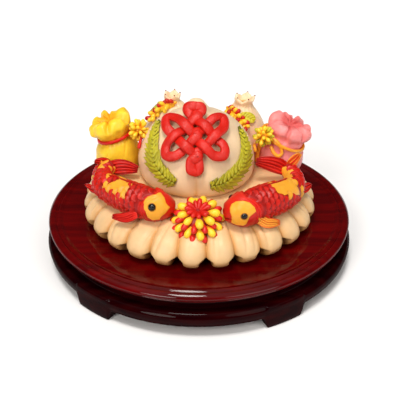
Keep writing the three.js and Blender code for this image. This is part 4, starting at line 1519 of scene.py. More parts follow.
@dataclass
class Blade:
    """A fin or a lobe of the tail: a flat rounded blade with folds that end in a frayed edge."""

    line: tuple
    width: float
    thick: float
    tint: Array
    # colour of the rim, and of the grooves between the folds, where a darker one is painted shade
    edge: Array
    ridges: int = 5
    fray: float = 1.8
    ridge_drift: float = 0.18  # how far the folds wander, of the half width
    curl: float = 0.48

    def add_to(self, clay: Clay) -> None:
        """Adds the blade's skin to a surface.

        Args:
            clay: The surface that gets it.
        """
        course = Course(self.line)
        t = np.linspace(0.02, 0.99, 50)
        centre, tangent = course.at(t), course.tangent(t)
        flat = unit(np.cross(tangent, VIEW_UP))
        side = unit(np.cross(flat, tangent))
        spread = self.width * np.sin(math.pi * (0.22 + 0.72 * t)) ** 0.6
        angle = directions(64)
        across = np.cos(angle)
        drift = across[None] + self.ridge_drift * np.sin(2.5 * t + self.width)[:, None]
        ridge = np.cos(math.pi * self.ridges * drift) * (0.75 + 0.25 * np.cos(5 * across))[None]
        fade = smoothstep(t, 0.0, 0.25)[:, None]
        high = (self.thick / 2) * broadened(np.sin(angle), 0.7)
        bend = self.curl * np.sin(5 * t[:, None] + 2 * across)
        relief = high * (1 + ridge * fade) + bend
        reach = self.fray * ridge * smoothstep(t, 0.7, 1)[:, None]
        rings = (centre[:, None] + (spread[:, None] * across)[..., None] * side[:, None]
                 + relief[..., None] * flat[:, None] + reach[..., None] * tangent[:, None])
        # the grooves between the folds take the edge colour: painted shade where it is darker, streaks of
        # colour where it is amber; the rim takes it as its own colour
        streak = 0.5 - 0.5 * ridge
        rim = np.maximum(smoothstep(np.abs(across), 0.75, 0.97)[None],
                         smoothstep(t, 0.85, 1)[:, None])
        tint = mixed(self.tint, self.edge, np.clip(0.9 * streak**2 * fade + 0.7 * rim, 0, 1))
        clay.skin(rings, tint, course.at(0)[0], course.at(1)[0])


@dataclass
class Koi:
    """A koi of red and yellow dough: head with gill arcs, raised scales, folded fins, bead eyes."""

    side: Side
    line: tuple
    girths: tuple
    tails: tuple
    front_fin: Blade
    side_fin: Blade
    front_slot: Slot
    eye_spots: tuple  # place on the line, and shares of the girth to the side and up
    outer: int  # 1 if the outer flank is on the right of the way from mouth to tail
    face: Patch
    patches: tuple
    gill: float  # millimetres from the mouth to the gill's edge
    slim: float = 0.93
    snout: float = 3.0
    eye: float = 4.1
    mouth_up: float = -1.5  # from the snout's middle
    gill_lines: tuple = ((2.9, 1.0), (5.6, 0.8))  # millimetres before the gill's edge, and depth
    scale_pitch: float = 7.3
    scale_tilt: float = 0.24
    scale_thick: float = 1.5
    scale_reach: float = 2.4  # radians from the back that scales go down the flanks
    crest_pitch: float = 3.1
    sides: int = 150
    steps: int = 300

    def __post_init__(self) -> None:
        """Measures the body's length from the mouth."""
        self.course = Course(self.line)
        self.shares = np.linspace(0, 1, 800)
        steps = np.linalg.norm(np.diff(self.course.at(self.shares), axis=0), axis=1)
        self.lengths = np.concatenate([[0], np.cumsum(steps)])

    def girth(self, t: Array) -> Array:
        """Half the body's height at shares of its line.

        Args:
            t: Shares of the line.

        Returns:
            Millimetres for each share.
        """
        control = np.column_stack([np.arange(len(self.girths)), self.girths, self.girths])
        place = np.interp(t, Course(control).at(self.shares)[:, 0] / (len(self.girths) - 1), self.shares)
        return Course(control).at(place)[:, 1]

    def axes(self, t: Array) -> tuple[Array, Array, Array, Array]:
        """The middle, the way to the tail, the outer side and the back at shares of the line.

        Args:
            t: Shares of the line.

        Returns:
            The four, a row for each share.
        """
        centre, tangent = self.course.at(t), self.course.tangent(t)
        side = unit(np.cross(tangent, np.array([0, 0, 1.0])))
        return centre, tangent, side * self.outer, np.cross(side, tangent)

    def station(self, t: float) -> tuple[Array, Array, Array, Array, float]:
        """The middle, the way to the tail, the outer side, the back and the girth at one share."""
        place = np.array([t])
        return (*(part[0] for part in self.axes(place)), float(self.girth(place)[0]))

    def surface(self, along: Array, round_it: Array, lift: Array | float = 0.0) -> Array:
        """Points of the body's skin.

        Args:
            along: Millimetres from the mouth, one for each ring.
            round_it: Radians from the back towards the outer flank, a row for each ring.
            lift: How far above the plain skin.

        Returns:
            The points, rings by places round them.
        """
        t = np.interp(along, self.lengths, self.shares)
        centre, _, side, back = self.axes(t)
        girth = self.girth(t)[:, None]
        out = (girth * self.slim + lift)[..., None] * np.sin(round_it)[..., None] * side[:, None]
        return centre[:, None] + out + (girth + lift)[..., None] * np.cos(round_it)[
            ..., None] * back[:, None]

    def inside(self, patch: Patch, along: Array, round_it: Array) -> Array:
        """How far places of the skin lie inside a patch, in millimetres.

        Args:
            patch: The patch.
            along: Millimetres from the mouth, one for each ring.
            round_it: Radians from the back towards the outer flank, a row for each ring.

        Returns:
            The depth of each place, negative outside the patch.
        """
        points = self.surface(along, round_it)
        spots = seen(points) + patch.ragged * unevenness(points, 6, 9.0)[..., None]
        return depth_inside(spots, patch.outline)

    def facing(self, points: Array, along: Array) -> Array:
        """How squarely points of the skin face the viewer, from 1 to -1."""
        middle = self.course.at(np.interp(along, self.lengths, self.shares))
        return np.sum(unit(points - middle[:, None]) * unit(VIEWER - points), axis=-1)

    def painted(self, along: Array, round_it: Array) -> Array:
        """The colour of the body at places of its skin.

        Args:
            along: Millimetres from the mouth, one for each ring.
            round_it: Radians from the back towards the outer flank, a row for each ring.

        Returns:
            A linear colour for each place.
        """
        points = self.surface(along, round_it)
        cloud = unevenness(points, 6, 2.0)
        # painted shade darkens the belly, over a random drift of tone
        belly = smoothstep(np.abs(round_it), 1.2, 2.3)
        tint = mixed(RED, RED_DARK, 0.6 * belly + 0.3 * cloud)
        # painted highlight along the top of the back
        tint = mixed(tint, RED_PAINTED_HIGHLIGHT, 0.5 * smoothstep(np.abs(round_it), 0.8, 0.1))
        is_seen = smoothstep(self.facing(points, along), -0.2, 0.05)
        flank = np.where(round_it < 0, smoothstep(round_it, -0.8, -1.0), 1)
        cover = [smoothstep(self.inside(self.face, along, np.abs(round_it)), -0.25, 0.25) * flank]
        cover += [smoothstep(self.inside(patch, along, round_it), -0.3, 0.3) * is_seen
                  for patch in self.patches]
        warm = mixed(AMBER, ORANGE, 0.25 + 0.6 * cloud)
        for weight in cover:
            tint = mixed(tint, warm, weight)
        return tint

    def gill_at(self, round_it: Array) -> Array:
        """How far behind the mouth the gill's edge runs at places round the head."""
        off = np.abs(round_it) - 1.5
        return self.gill - np.where(off < 0, 7.0, 3.5) * np.minimum(off**2, 1.4)

    def relief(self, along: Array, round_it: Array) -> Array:
        """How far the head's details stand out: gill arcs and the face patch.

        Args:
            along: Millimetres from the mouth, one for each ring.
            round_it: Radians from the back towards the outer flank, a row for each ring.

        Returns:
            Millimetres above the plain skin.
        """
        face = self.inside(self.face, along, np.abs(round_it))
        along = along[:, None]
        gill = self.gill_at(round_it)
        lift = 1.5 * smoothstep(along, gill + 0.4, gill - 1.2) - 1.1 * bell(along - gill - 1.2, 1.2)
        for before, depth in self.gill_lines:
            lift = lift - depth * bell(along - gill + before, 0.6) * smoothstep(
                np.abs(round_it), 0.35, 0.7)
        lift = lift + 0.7 * smoothstep(face, -0.4, 0.6)
        lift = lift + 0.8 * bell(round_it, 0.12) * smoothstep(along, 26, 40)
        return lift * smoothstep(along, self.lengths[-1] + 1, self.lengths[-1] - 12)

    def body(self) -> Clay:
        """The body with its head and the lobes of its tail.

        Returns:
            Its surface.
        """
        along = np.linspace(0, self.lengths[-1], self.steps)
        w = np.linspace(-math.pi, math.pi, self.sides, endpoint=False)
        round_it = np.broadcast_to(w, (self.steps, self.sides))
        rings = self.surface(along, round_it, self.relief(along, round_it))
        tint = self.painted(along, round_it)
        # painted shade: the red skin behind the gill is darkened, where it shows between the scales
        is_red = tint[..., 1] < 0.2
        under = smoothstep(along[:, None] - self.gill_at(round_it), 1, 3) * is_red * 0.85
        tint = mixed(tint, 0.8 * RED_DARK, under)
        start, tangent, _, back, _ = self.station(0.0)
        caps = np.linspace(1, 0, 12)[1:-1][::-1]
        nose = start + (rings[0] - start) * caps[:, None, None]
        nose = nose - tangent * (self.snout * np.sqrt(1 - caps**2))[:, None, None]
        rings = np.concatenate([nose, rings])
        tint = np.concatenate([np.broadcast_to(tint[0], nose.shape), tint])
        tip = start - tangent * self.snout
        up = (rings - tip) @ back
        near = bell((rings - tip) @ tangent, 4.5)
        slit = bell(up - self.mouth_up, 0.8)
        lips = bell(np.abs(up - self.mouth_up) - 2.6, 1.5)
        rings = rings + tangent * ((2.6 * slit - 1.2 * lips) * near)[..., None]
        # painted shade in the mouth's slit, and the snout a little darker
        tint = mixed(tint, 0.5 * RED_DARK, 0.9 * slit * near + 0.25 * near)
        for centre in self.eyes():
            away = np.linalg.norm(rings - centre, axis=-1)
            # painted shade round each eye's socket
            socket = smoothstep(away, self.eye + 0.9, self.eye + 0.3)
            tint = mixed(tint, 0.3125 * RED_DARK, 0.8 * socket)
        end, ahead, *_ = self.station(1.0)
        clay = Clay().skin(rings, tint, tip + tangent * 1.5, end + ahead * 2)
        for lobe in self.tails:
            lobe.add_to(clay)
        return clay

    def scales(self) -> Spots:
        """Spots of the overlapping scales, in staggered rows from the gill to the tail.

        Returns:
            The spots.
        """
        spots = Spots()
        draw = np.random.default_rng(SEED)
        pitch = self.scale_pitch
        for row, along in enumerate(np.arange(self.gill - 6, self.lengths[-1] - 8, pitch * 0.8)):
            centre, tangent, _, _, girth = self.station(np.interp(along, self.lengths, self.shares))
            size = pitch * (0.55 + 0.45 * min(girth / 16, 1))
            step = size * 1.02 / girth
            count = int(self.scale_reach / step)
            for k in range(-count, count + 1):
                w = (k + (0.5 if row % 2 else 0.0)) * step
                if along < self.gill_at(np.array(w)) + 2.6:
                    continue
                ring, place = np.array([along]), np.array([[w]])
                is_seen = self.facing(self.surface(ring, place), ring)[0, 0] > -0.1
                far = -99.0  # no patch is near on the side away from the viewer
                depths = [float(self.inside(patch, ring, place)[0, 0]) if is_seen else far
                          for patch in self.patches]
                best = int(np.argmax(depths))
                is_smooth = seen(self.surface(ring, place))[0, 0, 1] > self.patches[best].smooth_above
                if depths[best] > 0.2 and is_smooth:
                    continue
                tint = mixed(RED, RED_DARK, draw.uniform(0, 0.35))
                within, near = depths[best] > 0.2, -2.6 < depths[best] <= 0.2
                if within and draw.uniform() < 0.5 or near and draw.uniform() < 0.45:
                    tint = mixed(AMBER, ORANGE, draw.uniform(0.2, 0.8))
                at = self.surface(ring, place)[0, 0]
                normal = unit(at - centre)
                forward = unit(tangent - normal * (tangent @ normal) + self.scale_tilt * normal)
                half = size * draw.uniform(0.62, 0.68)
                spots.add(at - normal * (2 * GAP), forward, normal,
                          (self.scale_thick, half, half * 1.1), tint)
        return spots

    def crest(self) -> Spots:
        """Spots of the low serrated fin along the back.

        Returns:
            The spots.
        """
        spots = Spots()
        for along in np.arange(self.gill + 4, self.lengths[-1] * 0.58, self.crest_pitch):
            centre, tangent, side, back, girth = self.station(
                np.interp(along, self.lengths, self.shares))
            spots.add(centre + back * (girth - 0.5) - side * 1.6, unit(tangent + 0.5 * back), side,
                      (1.2, 1.7, 5.2), mixed(RED_DARK, RED, 0.4))
        return spots

    def eyes(self) -> list[Array]:
        """The places of the two eyes.

        Returns:
            The middle of each eye.
        """
        places = []
        for at, out, up in self.eye_spots:
            centre, _, side, back, girth = self.station(at / (len(self.line) - 1))
            places.append(centre + side * self.outer * girth * out + back * girth * up)
        return places

    def build(self, finishes: Finishes, placing: Placing) -> None:
        """Makes and dresses the koi's body, fins and eyes.

        Args:
            finishes: The finishes by slot.
            placing: Places the repeated shapes.
        """
        parts = [self.body().piece(f"koi_{self.side.value}", finishes[Slot.RED]),
                 placing.placed("scales", self.scales(), scale_shape(), finishes[Slot.RED]),
                 placing.placed("crest", self.crest(), leaflet_shape(), finishes[Slot.RED])]
        dressed(joined(f"carved_koi_{self.side.value}", parts), Slot.RED, f"koi_{self.side.value}_body")
        for place, blade, slot in (("front", self.front_fin, self.front_slot),
                                   ("side", self.side_fin, Slot.RED)):
            fin = Clay()
            blade.add_to(fin)
            piece = fin.piece(f"ridged_fin_{self.side.value}_{place}", finishes[slot])
            dressed(piece, slot, f"koi_{self.side.value}_fin_{place}")
        for i, centre in enumerate(self.eyes()):
            bean = ball(centre, self.eye, 32, 20, WHITE)
            piece = bean.piece(f"bean_eye_{self.side.value}_{i + 1}", finishes[Slot.BEAD])
            dressed(piece, Slot.BEAD, f"koi_{self.side.value}_eye_{i + 1}")


# ---------------------------------------------------------------- flowers
@dataclass
class Row:
    """A row of petals: where they are rooted and point to, from the flower's axis, and their form."""

    root: float
    tip: float
    count: int
    length: float
    width: float
    tint: Array
    turn: float = 0.0


@dataclass
class Pompon:
    """A round flower of seed-shaped petals on a core."""

    name: str
    centre: Array
    axis: Array
    core: float
    rows: tuple
    core_tint: Array
    seed: int = SEED
    wobble: float = 0.13
    sunk: float = 0.93  # share of the core's radius at which the petals are rooted

    def towards(self, polar: float, angle: float) -> Array:
        """A direction at an angle from the flower's axis.

        Args:
            polar: Radians from the axis.
            angle: Radians round it.

        Returns:
            The direction.
        """
        axis = unit(self.axis)
        across = unit(np.cross(axis, np.array([0.3, 1.0, 0.2])))
        other = np.cross(axis, across)
        return (math.sin(polar) * (math.cos(angle) * across + math.sin(angle) * other)
                + math.cos(polar) * axis)

    def build(self, finishes: Finishes, placing: Placing, node: str) -> None:
        """Makes and dresses the flower in place of its solid.

        Args:
            finishes: The finishes by slot.
            placing: Places the repeated shapes.
            node: The solid that it replaces.
        """
        spots = Spots()
        for row in self.rows:
            for n in range(row.count):
                angle = FULL_TURN * n / row.count + row.turn
                out = self.towards(row.root, angle)
                root = self.centre + out * self.core * self.sunk
                spots.add(root, self.towards(row.tip, angle), self.axis,
                          (row.width, row.width, row.length), row.tint)
        petals = placing.placed(f"{self.name}_petals", spots, grain_shape(), finishes[Slot.YELLOW],
                                0.1, self.wobble, self.seed)
        core = ball(self.centre, self.core, 24, 14, self.core_tint)
        middle = core.piece(f"{self.name}_core", finishes[Slot.YELLOW])
        dressed(joined(self.name, [petals, middle]), Slot.YELLOW, node)


@dataclass
class Spray:
    """A spray of seed-shaped petals near the peak: a hidden stem with petals on all its sides."""

    side: Side
    line: tuple
    stem: float = 1.9
    petals: int = 20
    length: float = 8.6
    width: float = 2.6

    def build(self, finishes: Finishes, placing: Placing, sight: Sight) -> None:
        """Makes and dresses the spray.

        Args:
            finishes: The finishes by slot.
            placing: Places the repeated shapes.
            sight: The viewer's sight of the pieces under it.
        """
        points, normals = sight.laid(self.line, self.stem + 2 * GAP)
        course = Course(points)
        stem = tube(course.at(np.linspace(0, 1, 40)), self.stem, YELLOW_DARK)
        spots = Spots()
        draw = np.random.default_rng(SEED + 5)
        for n in range(self.petals):
            t = (n + 0.5) / self.petals
            place, way = course.at(t)[0], course.tangent(t)[0]
            normal = normals[round(t * (len(normals) - 1))]
            side = unit(np.cross(way, normal))
            turn = (-0.62, 0.62, -0.2, 0.25)[n % 4] * math.pi + draw.uniform(-0.4, 0.4)
            slant = 0.9 + draw.uniform(-0.35, 0.35)
            sideways = math.sin(turn) * side + abs(math.cos(turn)) * normal * 0.8
            forward = unit(way * math.cos(slant) + sideways * math.sin(slant))
            is_red = (n % 4 == self.red_place) or (n % 8 == 3)
            tint = mixed(RED, RED_DARK, draw.uniform(0, 0.4)) if is_red else mixed(
                YELLOW, YELLOW_DARK, draw.uniform(0, 0.3))
            spots.add(place, forward, normal, (self.width, self.width, self.length), tint)
        petals = placing.placed("spray_petals", spots, grain_shape(10, 7), finishes[Slot.YELLOW],
                                0.1, 0.08)
        body = stem.piece(f"spray_{self.side.value}", finishes[Slot.YELLOW])
        dressed(joined(f"spray_{self.side.value}", [petals, body]), Slot.YELLOW,
                f"blossom_peak_{self.side.value}")

    @property
    def red_place(self) -> int:
        """Which of the four petal places is red: the one on the side away from the leaf."""
        return 1 if self.side is Side.LEFT else 0


# ---------------------------------------------------------------- what lies on the peach
@dataclass
class EndlessKnot:
    """The red ornament: one flattened rope of dough woven over and under itself in a closed loop."""

    across: float = -5.5
    up: float = 69.5
    pitch: float = 14.3
    half_width: float = 5.3
    half_height: float = 3.2
    side_loop: float = 1.9
    ear: float = 1.5
    squareness: float = 0.86  # below 1, the rope's section is squarer than an ellipse
    crossing: float = 1.08  # half heights that a strand rises to pass over another
    steps: int = 620
    sides: int = 24

    def path(self) -> list[tuple[float, float, float]]:
        """The closed path: along, across, and over or under, in pitches.

        Returns:
            The points of the path.
        """
        quarter = math.pi / 2

        def over(column: int, row: int) -> int:
            """Which strand is on top where a column crosses a row."""
            return 1 if (column + row) % 2 == 0 else -1

        def level(row: int) -> list:
            """A straight run along a row."""
            return [(column, row, over(column, row)) for column in (-1, 0, 1)]

        def upright(column: int) -> list:
            """A straight run along a column."""
            return [(column, row, -over(column, row)) for row in (-1, 0, 1)]

        def turn(cx: float, cy: float, start: float, end: float, radius: float) -> list:
            """A loop round a middle from one angle to another."""
            count = round(abs(end - start) / quarter) + 1
            return [(cx + radius * math.cos(a), cy + radius * math.sin(a), 0)
                    for a in np.linspace(start, end, count)]

        ear, side = self.ear, self.side_loop
        return [*level(1), *turn(ear, ear, -quarter, 2 * quarter, ear - 1), *upright(1)[::-1],
                *turn(0.5, -side, 0, -2 * quarter, 0.5), *upright(0),
                *turn(-0.5, side, 0, 2 * quarter, 0.5), *upright(-1)[::-1],
                *turn(-ear, -ear, 0, -3 * quarter, ear - 1), *level(-1),
                *turn(side, -0.5, -quarter, quarter, 0.5), *level(0)[::-1],
                *turn(-side, 0.5, -quarter, -3 * quarter, 0.5)]

    def build(self, finishes: Finishes, sight: Sight) -> None:
        """Makes and dresses the knot.

        Args:
            finishes: The finishes by slot.
            sight: The viewer's sight of the pieces under it.
        """
        diagonal = self.pitch * math.sqrt(0.5)
        control = [(self.across + diagonal * (u - v), self.up + diagonal * (u + v), h)
                   for u, v, h in self.path()]
        course = Course(control, closed=True).at(np.arange(self.steps) / self.steps)
        points, normal = sight.laid(course[:, :2])
        for _ in range(6):
            normal = unit(normal + np.roll(normal, 1, 0) + np.roll(normal, -1, 0))
        lift = self.half_height * (1 + (1 + course[:, 2]) * self.crossing) + 2 * GAP
        centre = points + normal * lift[:, None]
        ahead = unit(np.roll(centre, -1, 0) - np.roll(centre, 1, 0))
        side = unit(np.cross(ahead, normal))
        back = np.cross(side, ahead)
        angle = directions(self.sides)
        wide = self.half_width * (1 + 0.05 * np.sin(np.arange(self.steps) * 0.11))
        x = wide[:, None] * broadened(np.cos(angle), self.squareness)
        y = self.half_height * broadened(np.sin(angle), self.squareness)
        rings = centre[:, None] + x[..., None] * side[:, None] + y[:, None] * back[:, None]
        rings = rings + 0.22 * unevenness(rings, 7, 1.5)[..., None]
        # painted shade on the underside of the rope, over a random drift of tone
        low = np.broadcast_to(smoothstep(np.sin(angle), 0.1, -0.7), x.shape)
        tint = mixed(RED, RED_DARK, 0.55 * low + 0.1 * unevenness(rings, 5))
        clay = Clay().skin(rings, tint)
        dressed(clay.piece("woven_knot", finishes[Variant.KNOT]), Slot.RED, "endless_knot")


@dataclass
class Fern:
    """A fern leaf on the peach: a thin leaf, painted dark as the shade between the leaflets, under three
    layers of overlapping pointed leaflets.
    """

    side: Side
    midline: tuple
    seed: int
    leaflets: int = 17
    shares: tuple = (0, 0.06, 0.2, 0.45, 0.62, 0.78, 0.92, 1)
    widths: tuple = (4.5, 7.5, 8.6, 7.8, 6.4, 4.8, 3, 1.2)
    thick: float = 2.2
    lift: float = 1.25
    # for each layer, the shares of the half width where it starts and ends, its height and its offset
    layers: tuple = ((0.25, 0.85, 0.2, 0.0), (0.05, 0.72, 1.2, 0.5), (0.0, 0.42, 1.9, 0.25))
    slant: float = math.radians(30)  # between a leaflet and the midrib, nearly all along
    foot_slant: float = math.radians(45)  # what is added to it at the leaf's foot

    def half_width(self, t: float) -> float:
        """Half the leaf's width at a share of its midline."""
        return float(np.interp(t, self.shares, self.widths))

    def under_leaf(self, course: Course, sight: Sight) -> Clay:
        """The thin leaf under the leaflets, painted dark as the shade that shows between them.

        Args:
            course: The midline, in the plane that faces the viewer.
            sight: The viewer's sight of the pieces under it.

        Returns:
            Its surface.
        """
        t = np.linspace(0, 1, 60)
        middle, tangent = course.at(t), course.tangent(t)
        shares = np.linspace(-1, 1, 9)
        rings = []
        for i, share_along in enumerate(t):
            half = max(self.half_width(share_along) * 0.72, 0.9)
            points, normals = sight.laid(beside(middle[i], tangent[i], shares * half))
            rib = self.lift + self.thick * 0.35 + (1 - np.abs(shares)) ** 1.5
            rings.append(np.concatenate([points + normals * rib[:, None],
                                         (points + normals * self.lift * 0.4)[::-1]]))
        rings = np.array(rings)
        ends = [(rings[k, 4] + rings[k, 13]) / 2 for k in (0, -1)]
        # painted shade: the whole under-leaf is dark, as the shade between the leaflets
        return Clay().skin(rings, LIME_DARK, ends[0], ends[1])

    def spots(self, course: Course, sight: Sight) -> Spots:
        """Spots of the leaflets, from the long outer layer to the short one along the midrib.

        Args:
            course: The midline, in the plane that faces the viewer.
            sight: The viewer's sight of the pieces under it.

        Returns:
            The spots.
        """
        spots = Spots()
        draw = np.random.default_rng(self.seed)
        for near, far, raised, offset in self.layers:
            for n in range(self.leaflets):
                share = 0.01 + 0.95 * (n + offset) / self.leaflets
                base, way = course.at(share)[0], course.tangent(share)[0]
                reach = self.half_width(share)
                for hand in (-1, 1):
                    slant = self.slant + self.foot_slant * (1 - share) ** 4
                    slant += draw.uniform(-0.12, 0.12)
                    across = np.array([-way[1], way[0]]) * hand
                    out = way[:2] * math.cos(slant) + across * math.sin(slant)
                    length = reach * far / max(math.sin(slant), 0.6)
                    root, normal = sight.seat(*(base[:2] + across * reach * near))
                    tip, tip_normal = sight.seat(*(base[:2] + across * reach * near + out * length))
                    start = root + normal * (self.lift + self.thick * 0.3 + raised)
                    finish = tip + tip_normal * (self.lift + 0.3 + 0.5 * raised)
                    span = float(np.linalg.norm(finish - start)) * draw.uniform(0.92, 1.12)
                    olive = 0.5 * (1 - share) + draw.uniform(-0.2, 0.2) - 0.12
                    spots.add(start, unit(finish - start), unit(normal + tip_normal),
                              (1.4, 0.22 * span + 0.4, span), mixed(LIME, LIME_DARK, olive))
        return spots

    def build(self, finishes: Finishes, placing: Placing, sight: Sight) -> None:
        """Makes and dresses the leaf.

        Args:
            finishes: The finishes by slot.
            placing: Places the repeated shapes.
            sight: The viewer's sight of the pieces under it.
        """
        course = Course([(x, y, 0) for x, y in self.midline])
        under = self.under_leaf(course, sight).piece("fern", finishes[Slot.GREEN])
        leaflets = placing.placed("leaflets", self.spots(course, sight), leaflet_shape(),
                                  finishes[Slot.GREEN], 0.06, 0.04)
        dressed(joined(f"fern_{self.side.value}", [under, leaflets]), Slot.GREEN,
                f"fern_leaf_{self.side.value}")


@dataclass
class SmallLeaf:
    """A small plain leaf near the peak: a waved blade with a midrib and side veins."""

    side: Side
    start: tuple
    end: tuple
    width: float
    thick: float = 1.8
    lift: float = 1.2
    arch: float = 1.5
    veins: int = 6
    vein_slant: float = 1.2  # spacings that a vein runs towards the tip before it meets the edge
    vein_height: float = 0.3
    midrib: tuple = (0.9, 0.1)  # its depth, and its half width as a share of the leaf's
    wave: tuple = (0.5, 9)  # height of the edge's waves, and radians of them along the leaf

    def build(self, finishes: Finishes, sight: Sight) -> None:
        """Makes and dresses the leaf.

        Args:
            finishes: The finishes by slot.
            sight: The viewer's sight of the pieces under it.
        """
        begin, finish = np.array(self.start, float), np.array(self.end, float)
        middle = (begin + finish) / 2 + np.array([0, self.arch])
        course = Course([(*begin, 0), (*middle, 0), (*finish, 0)])
        t = np.linspace(0, 1, 44)
        line, tangent = course.at(t), course.tangent(t)
        half = np.maximum(self.width * np.sin(math.pi * (0.06 + 0.88 * t)) ** 0.7, 0.5)
        shares = np.linspace(-1, 1, 25)
        top, under = [], []
        for i in range(len(t)):
            points, normals = sight.laid(beside(line[i], tangent[i], shares * half[i]))
            reach = np.abs(shares)
            turns = t[i] * self.veins - reach * self.vein_slant
            veins = self.vein_height * np.cos(FULL_TURN * turns) * (reach < 1)
            groove = self.midrib[0] * bell(shares, self.midrib[1])
            wave = self.wave[0] * np.sin(t[i] * self.wave[1]) * reach
            high = self.lift + self.thick + wave + veins - groove
            under.append(points + normals * (self.lift + wave)[:, None])
            top.append(points + normals * high[:, None])
        rings = np.array([np.concatenate([a, b[::-1]]) for a, b in zip(top, under)])
        ends = [(rings[k, 12] + rings[k, 37]) / 2 for k in (0, -1)]
        tint = mixed(LIME, LIME_DARK, 0.3 * unevenness(rings, 4))
        clay = Clay().skin(rings, tint, ends[0], ends[1])
        dressed(clay.piece(f"leaf_{self.side.value}", finishes[Slot.GREEN]), Slot.GREEN,
                f"small_leaf_{self.side.value}")


# ---------------------------------------------------------------- the studio
@dataclass
class Studio:
    """The pale floor, the soft lights and the camera."""

    floor_half: float = 6.0  # metres
    # name, azimuth, elevation, spread, strength and colour of each large far light
    suns: tuple = (("top", -20, 76, 16, 1.75, "fffaf4"), ("front", -30, 34, 22, 1.35, "fff8f0"),
                   ("side", 42, 38, 34, 0.75, "fff8f0"))
    sky_heights: tuple = (0.62, 0.95)  # where the overhead glow starts and is full
    sky_strengths: tuple = (0.05, 0.7)

    def floor(self) -> None:
        """A plain pale floor."""
        side = self.floor_half
        mesh = bpy.data.meshes.new("floor")
        corners = [(-side, -side, 0), (side, -side, 0), (side, side, 0), (-side, side, 0)]
        mesh.from_pydata(corners, [], [(0, 1, 2, 3)])
        material, tree = blank_material("matt_white_floor")
        place = add_node(tree, "ShaderNodeTexCoord").outputs["Object"]
        mottle = add_node(tree, "ShaderNodeTexNoise", {"Vector": place, "Scale": 3.0})
        colour = add_node(tree, "ShaderNodeMix",
                          {"Factor": mottle.outputs["Fac"], "A": (*linear("f8fafc"), 1.0),
                           "B": (*linear("fbfcff"), 1.0)}, data_type="RGBA")
        shader = add_node(tree, "ShaderNodeBsdfPrincipled",
                          {"Base Color": colour.outputs["Result"], "Roughness": 0.9})
        add_node(tree, "ShaderNodeOutputMaterial", {"Surface": shader.outputs["BSDF"]})
        mesh.materials.append(material)
        in_scene(bpy.data.objects.new("floor", mesh))

    def sun(self, name: str, azimuth: float, elevation: float, spread: float, strength: float,
            colour: str) -> None:
        """Adds a large far light, so that the floor is lit evenly.

        Args:
            name: The light's name.
            azimuth: Degrees to the viewer's right of straight in front.
            elevation: Degrees above the floor.
            spread: How large it looks from the centrepiece, in degrees.
            strength: Its strength in watts a square metre.
            colour: Its colour in sRGB hex.
        """
        lamp = bpy.data.lights.new(name, "SUN")
        lamp.angle = math.radians(spread)
        lamp.energy = strength
        lamp.color = linear(colour).tolist()
        turn, rise = math.radians(azimuth), math.radians(elevation)
        way = Vector((math.sin(turn) * math.cos(rise), -math.cos(turn) * math.cos(rise), math.sin(rise)))
        thing = in_scene(bpy.data.objects.new(name, lamp))
        thing.rotation_euler = way.to_track_quat("Z", "Y").to_euler()

    def world(self) -> None:
        """White light from overhead that fades towards the sides."""
        world = bpy.data.worlds.new("studio")
        world.use_nodes = True
        world.node_tree.nodes.clear()
        way = add_node(world.node_tree, "ShaderNodeTexCoord").outputs["Generated"]
        height = add_node(world.node_tree, "ShaderNodeSeparateXYZ", {"Vector": way}).outputs["Z"]
        strength = add_node(world.node_tree, "ShaderNodeMapRange",
                            {"Value": height, "From Min": self.sky_heights[0],
                             "From Max": self.sky_heights[1], "To Min": self.sky_strengths[0],
                             "To Max": self.sky_strengths[1]}, interpolation_type="SMOOTHSTEP")
        back = add_node(world.node_tree, "ShaderNodeBackground",
                        {"Color": (1.0, 0.98, 0.95, 1.0), "Strength": strength.outputs["Result"]})
        add_node(world.node_tree, "ShaderNodeOutputWorld", {"Surface": back.outputs["Background"]})
        bpy.context.scene.world = world

    def camera(self) -> None:
        """The camera, at the photographed viewing angle."""
        lens = bpy.data.cameras.new("camera")
        lens.lens = LENS
        lens.sensor_width = SENSOR
        lens.sensor_fit = "HORIZONTAL"
        thing = in_scene(bpy.data.objects.new("camera", lens))
        thing.location = VIEWER * MM
        thing.rotation_euler = Vector((AIM - VIEWER).tolist()).to_track_quat("-Z", "Y").to_euler()
        bpy.context.scene.camera = thing

    def build(self) -> None:
        """Sets up the whole studio."""
        self.camera()
        self.floor()
        self.world()
        for light in self.suns:
            self.sun(*light)
        bpy.context.scene.view_settings.view_transform = "Standard"


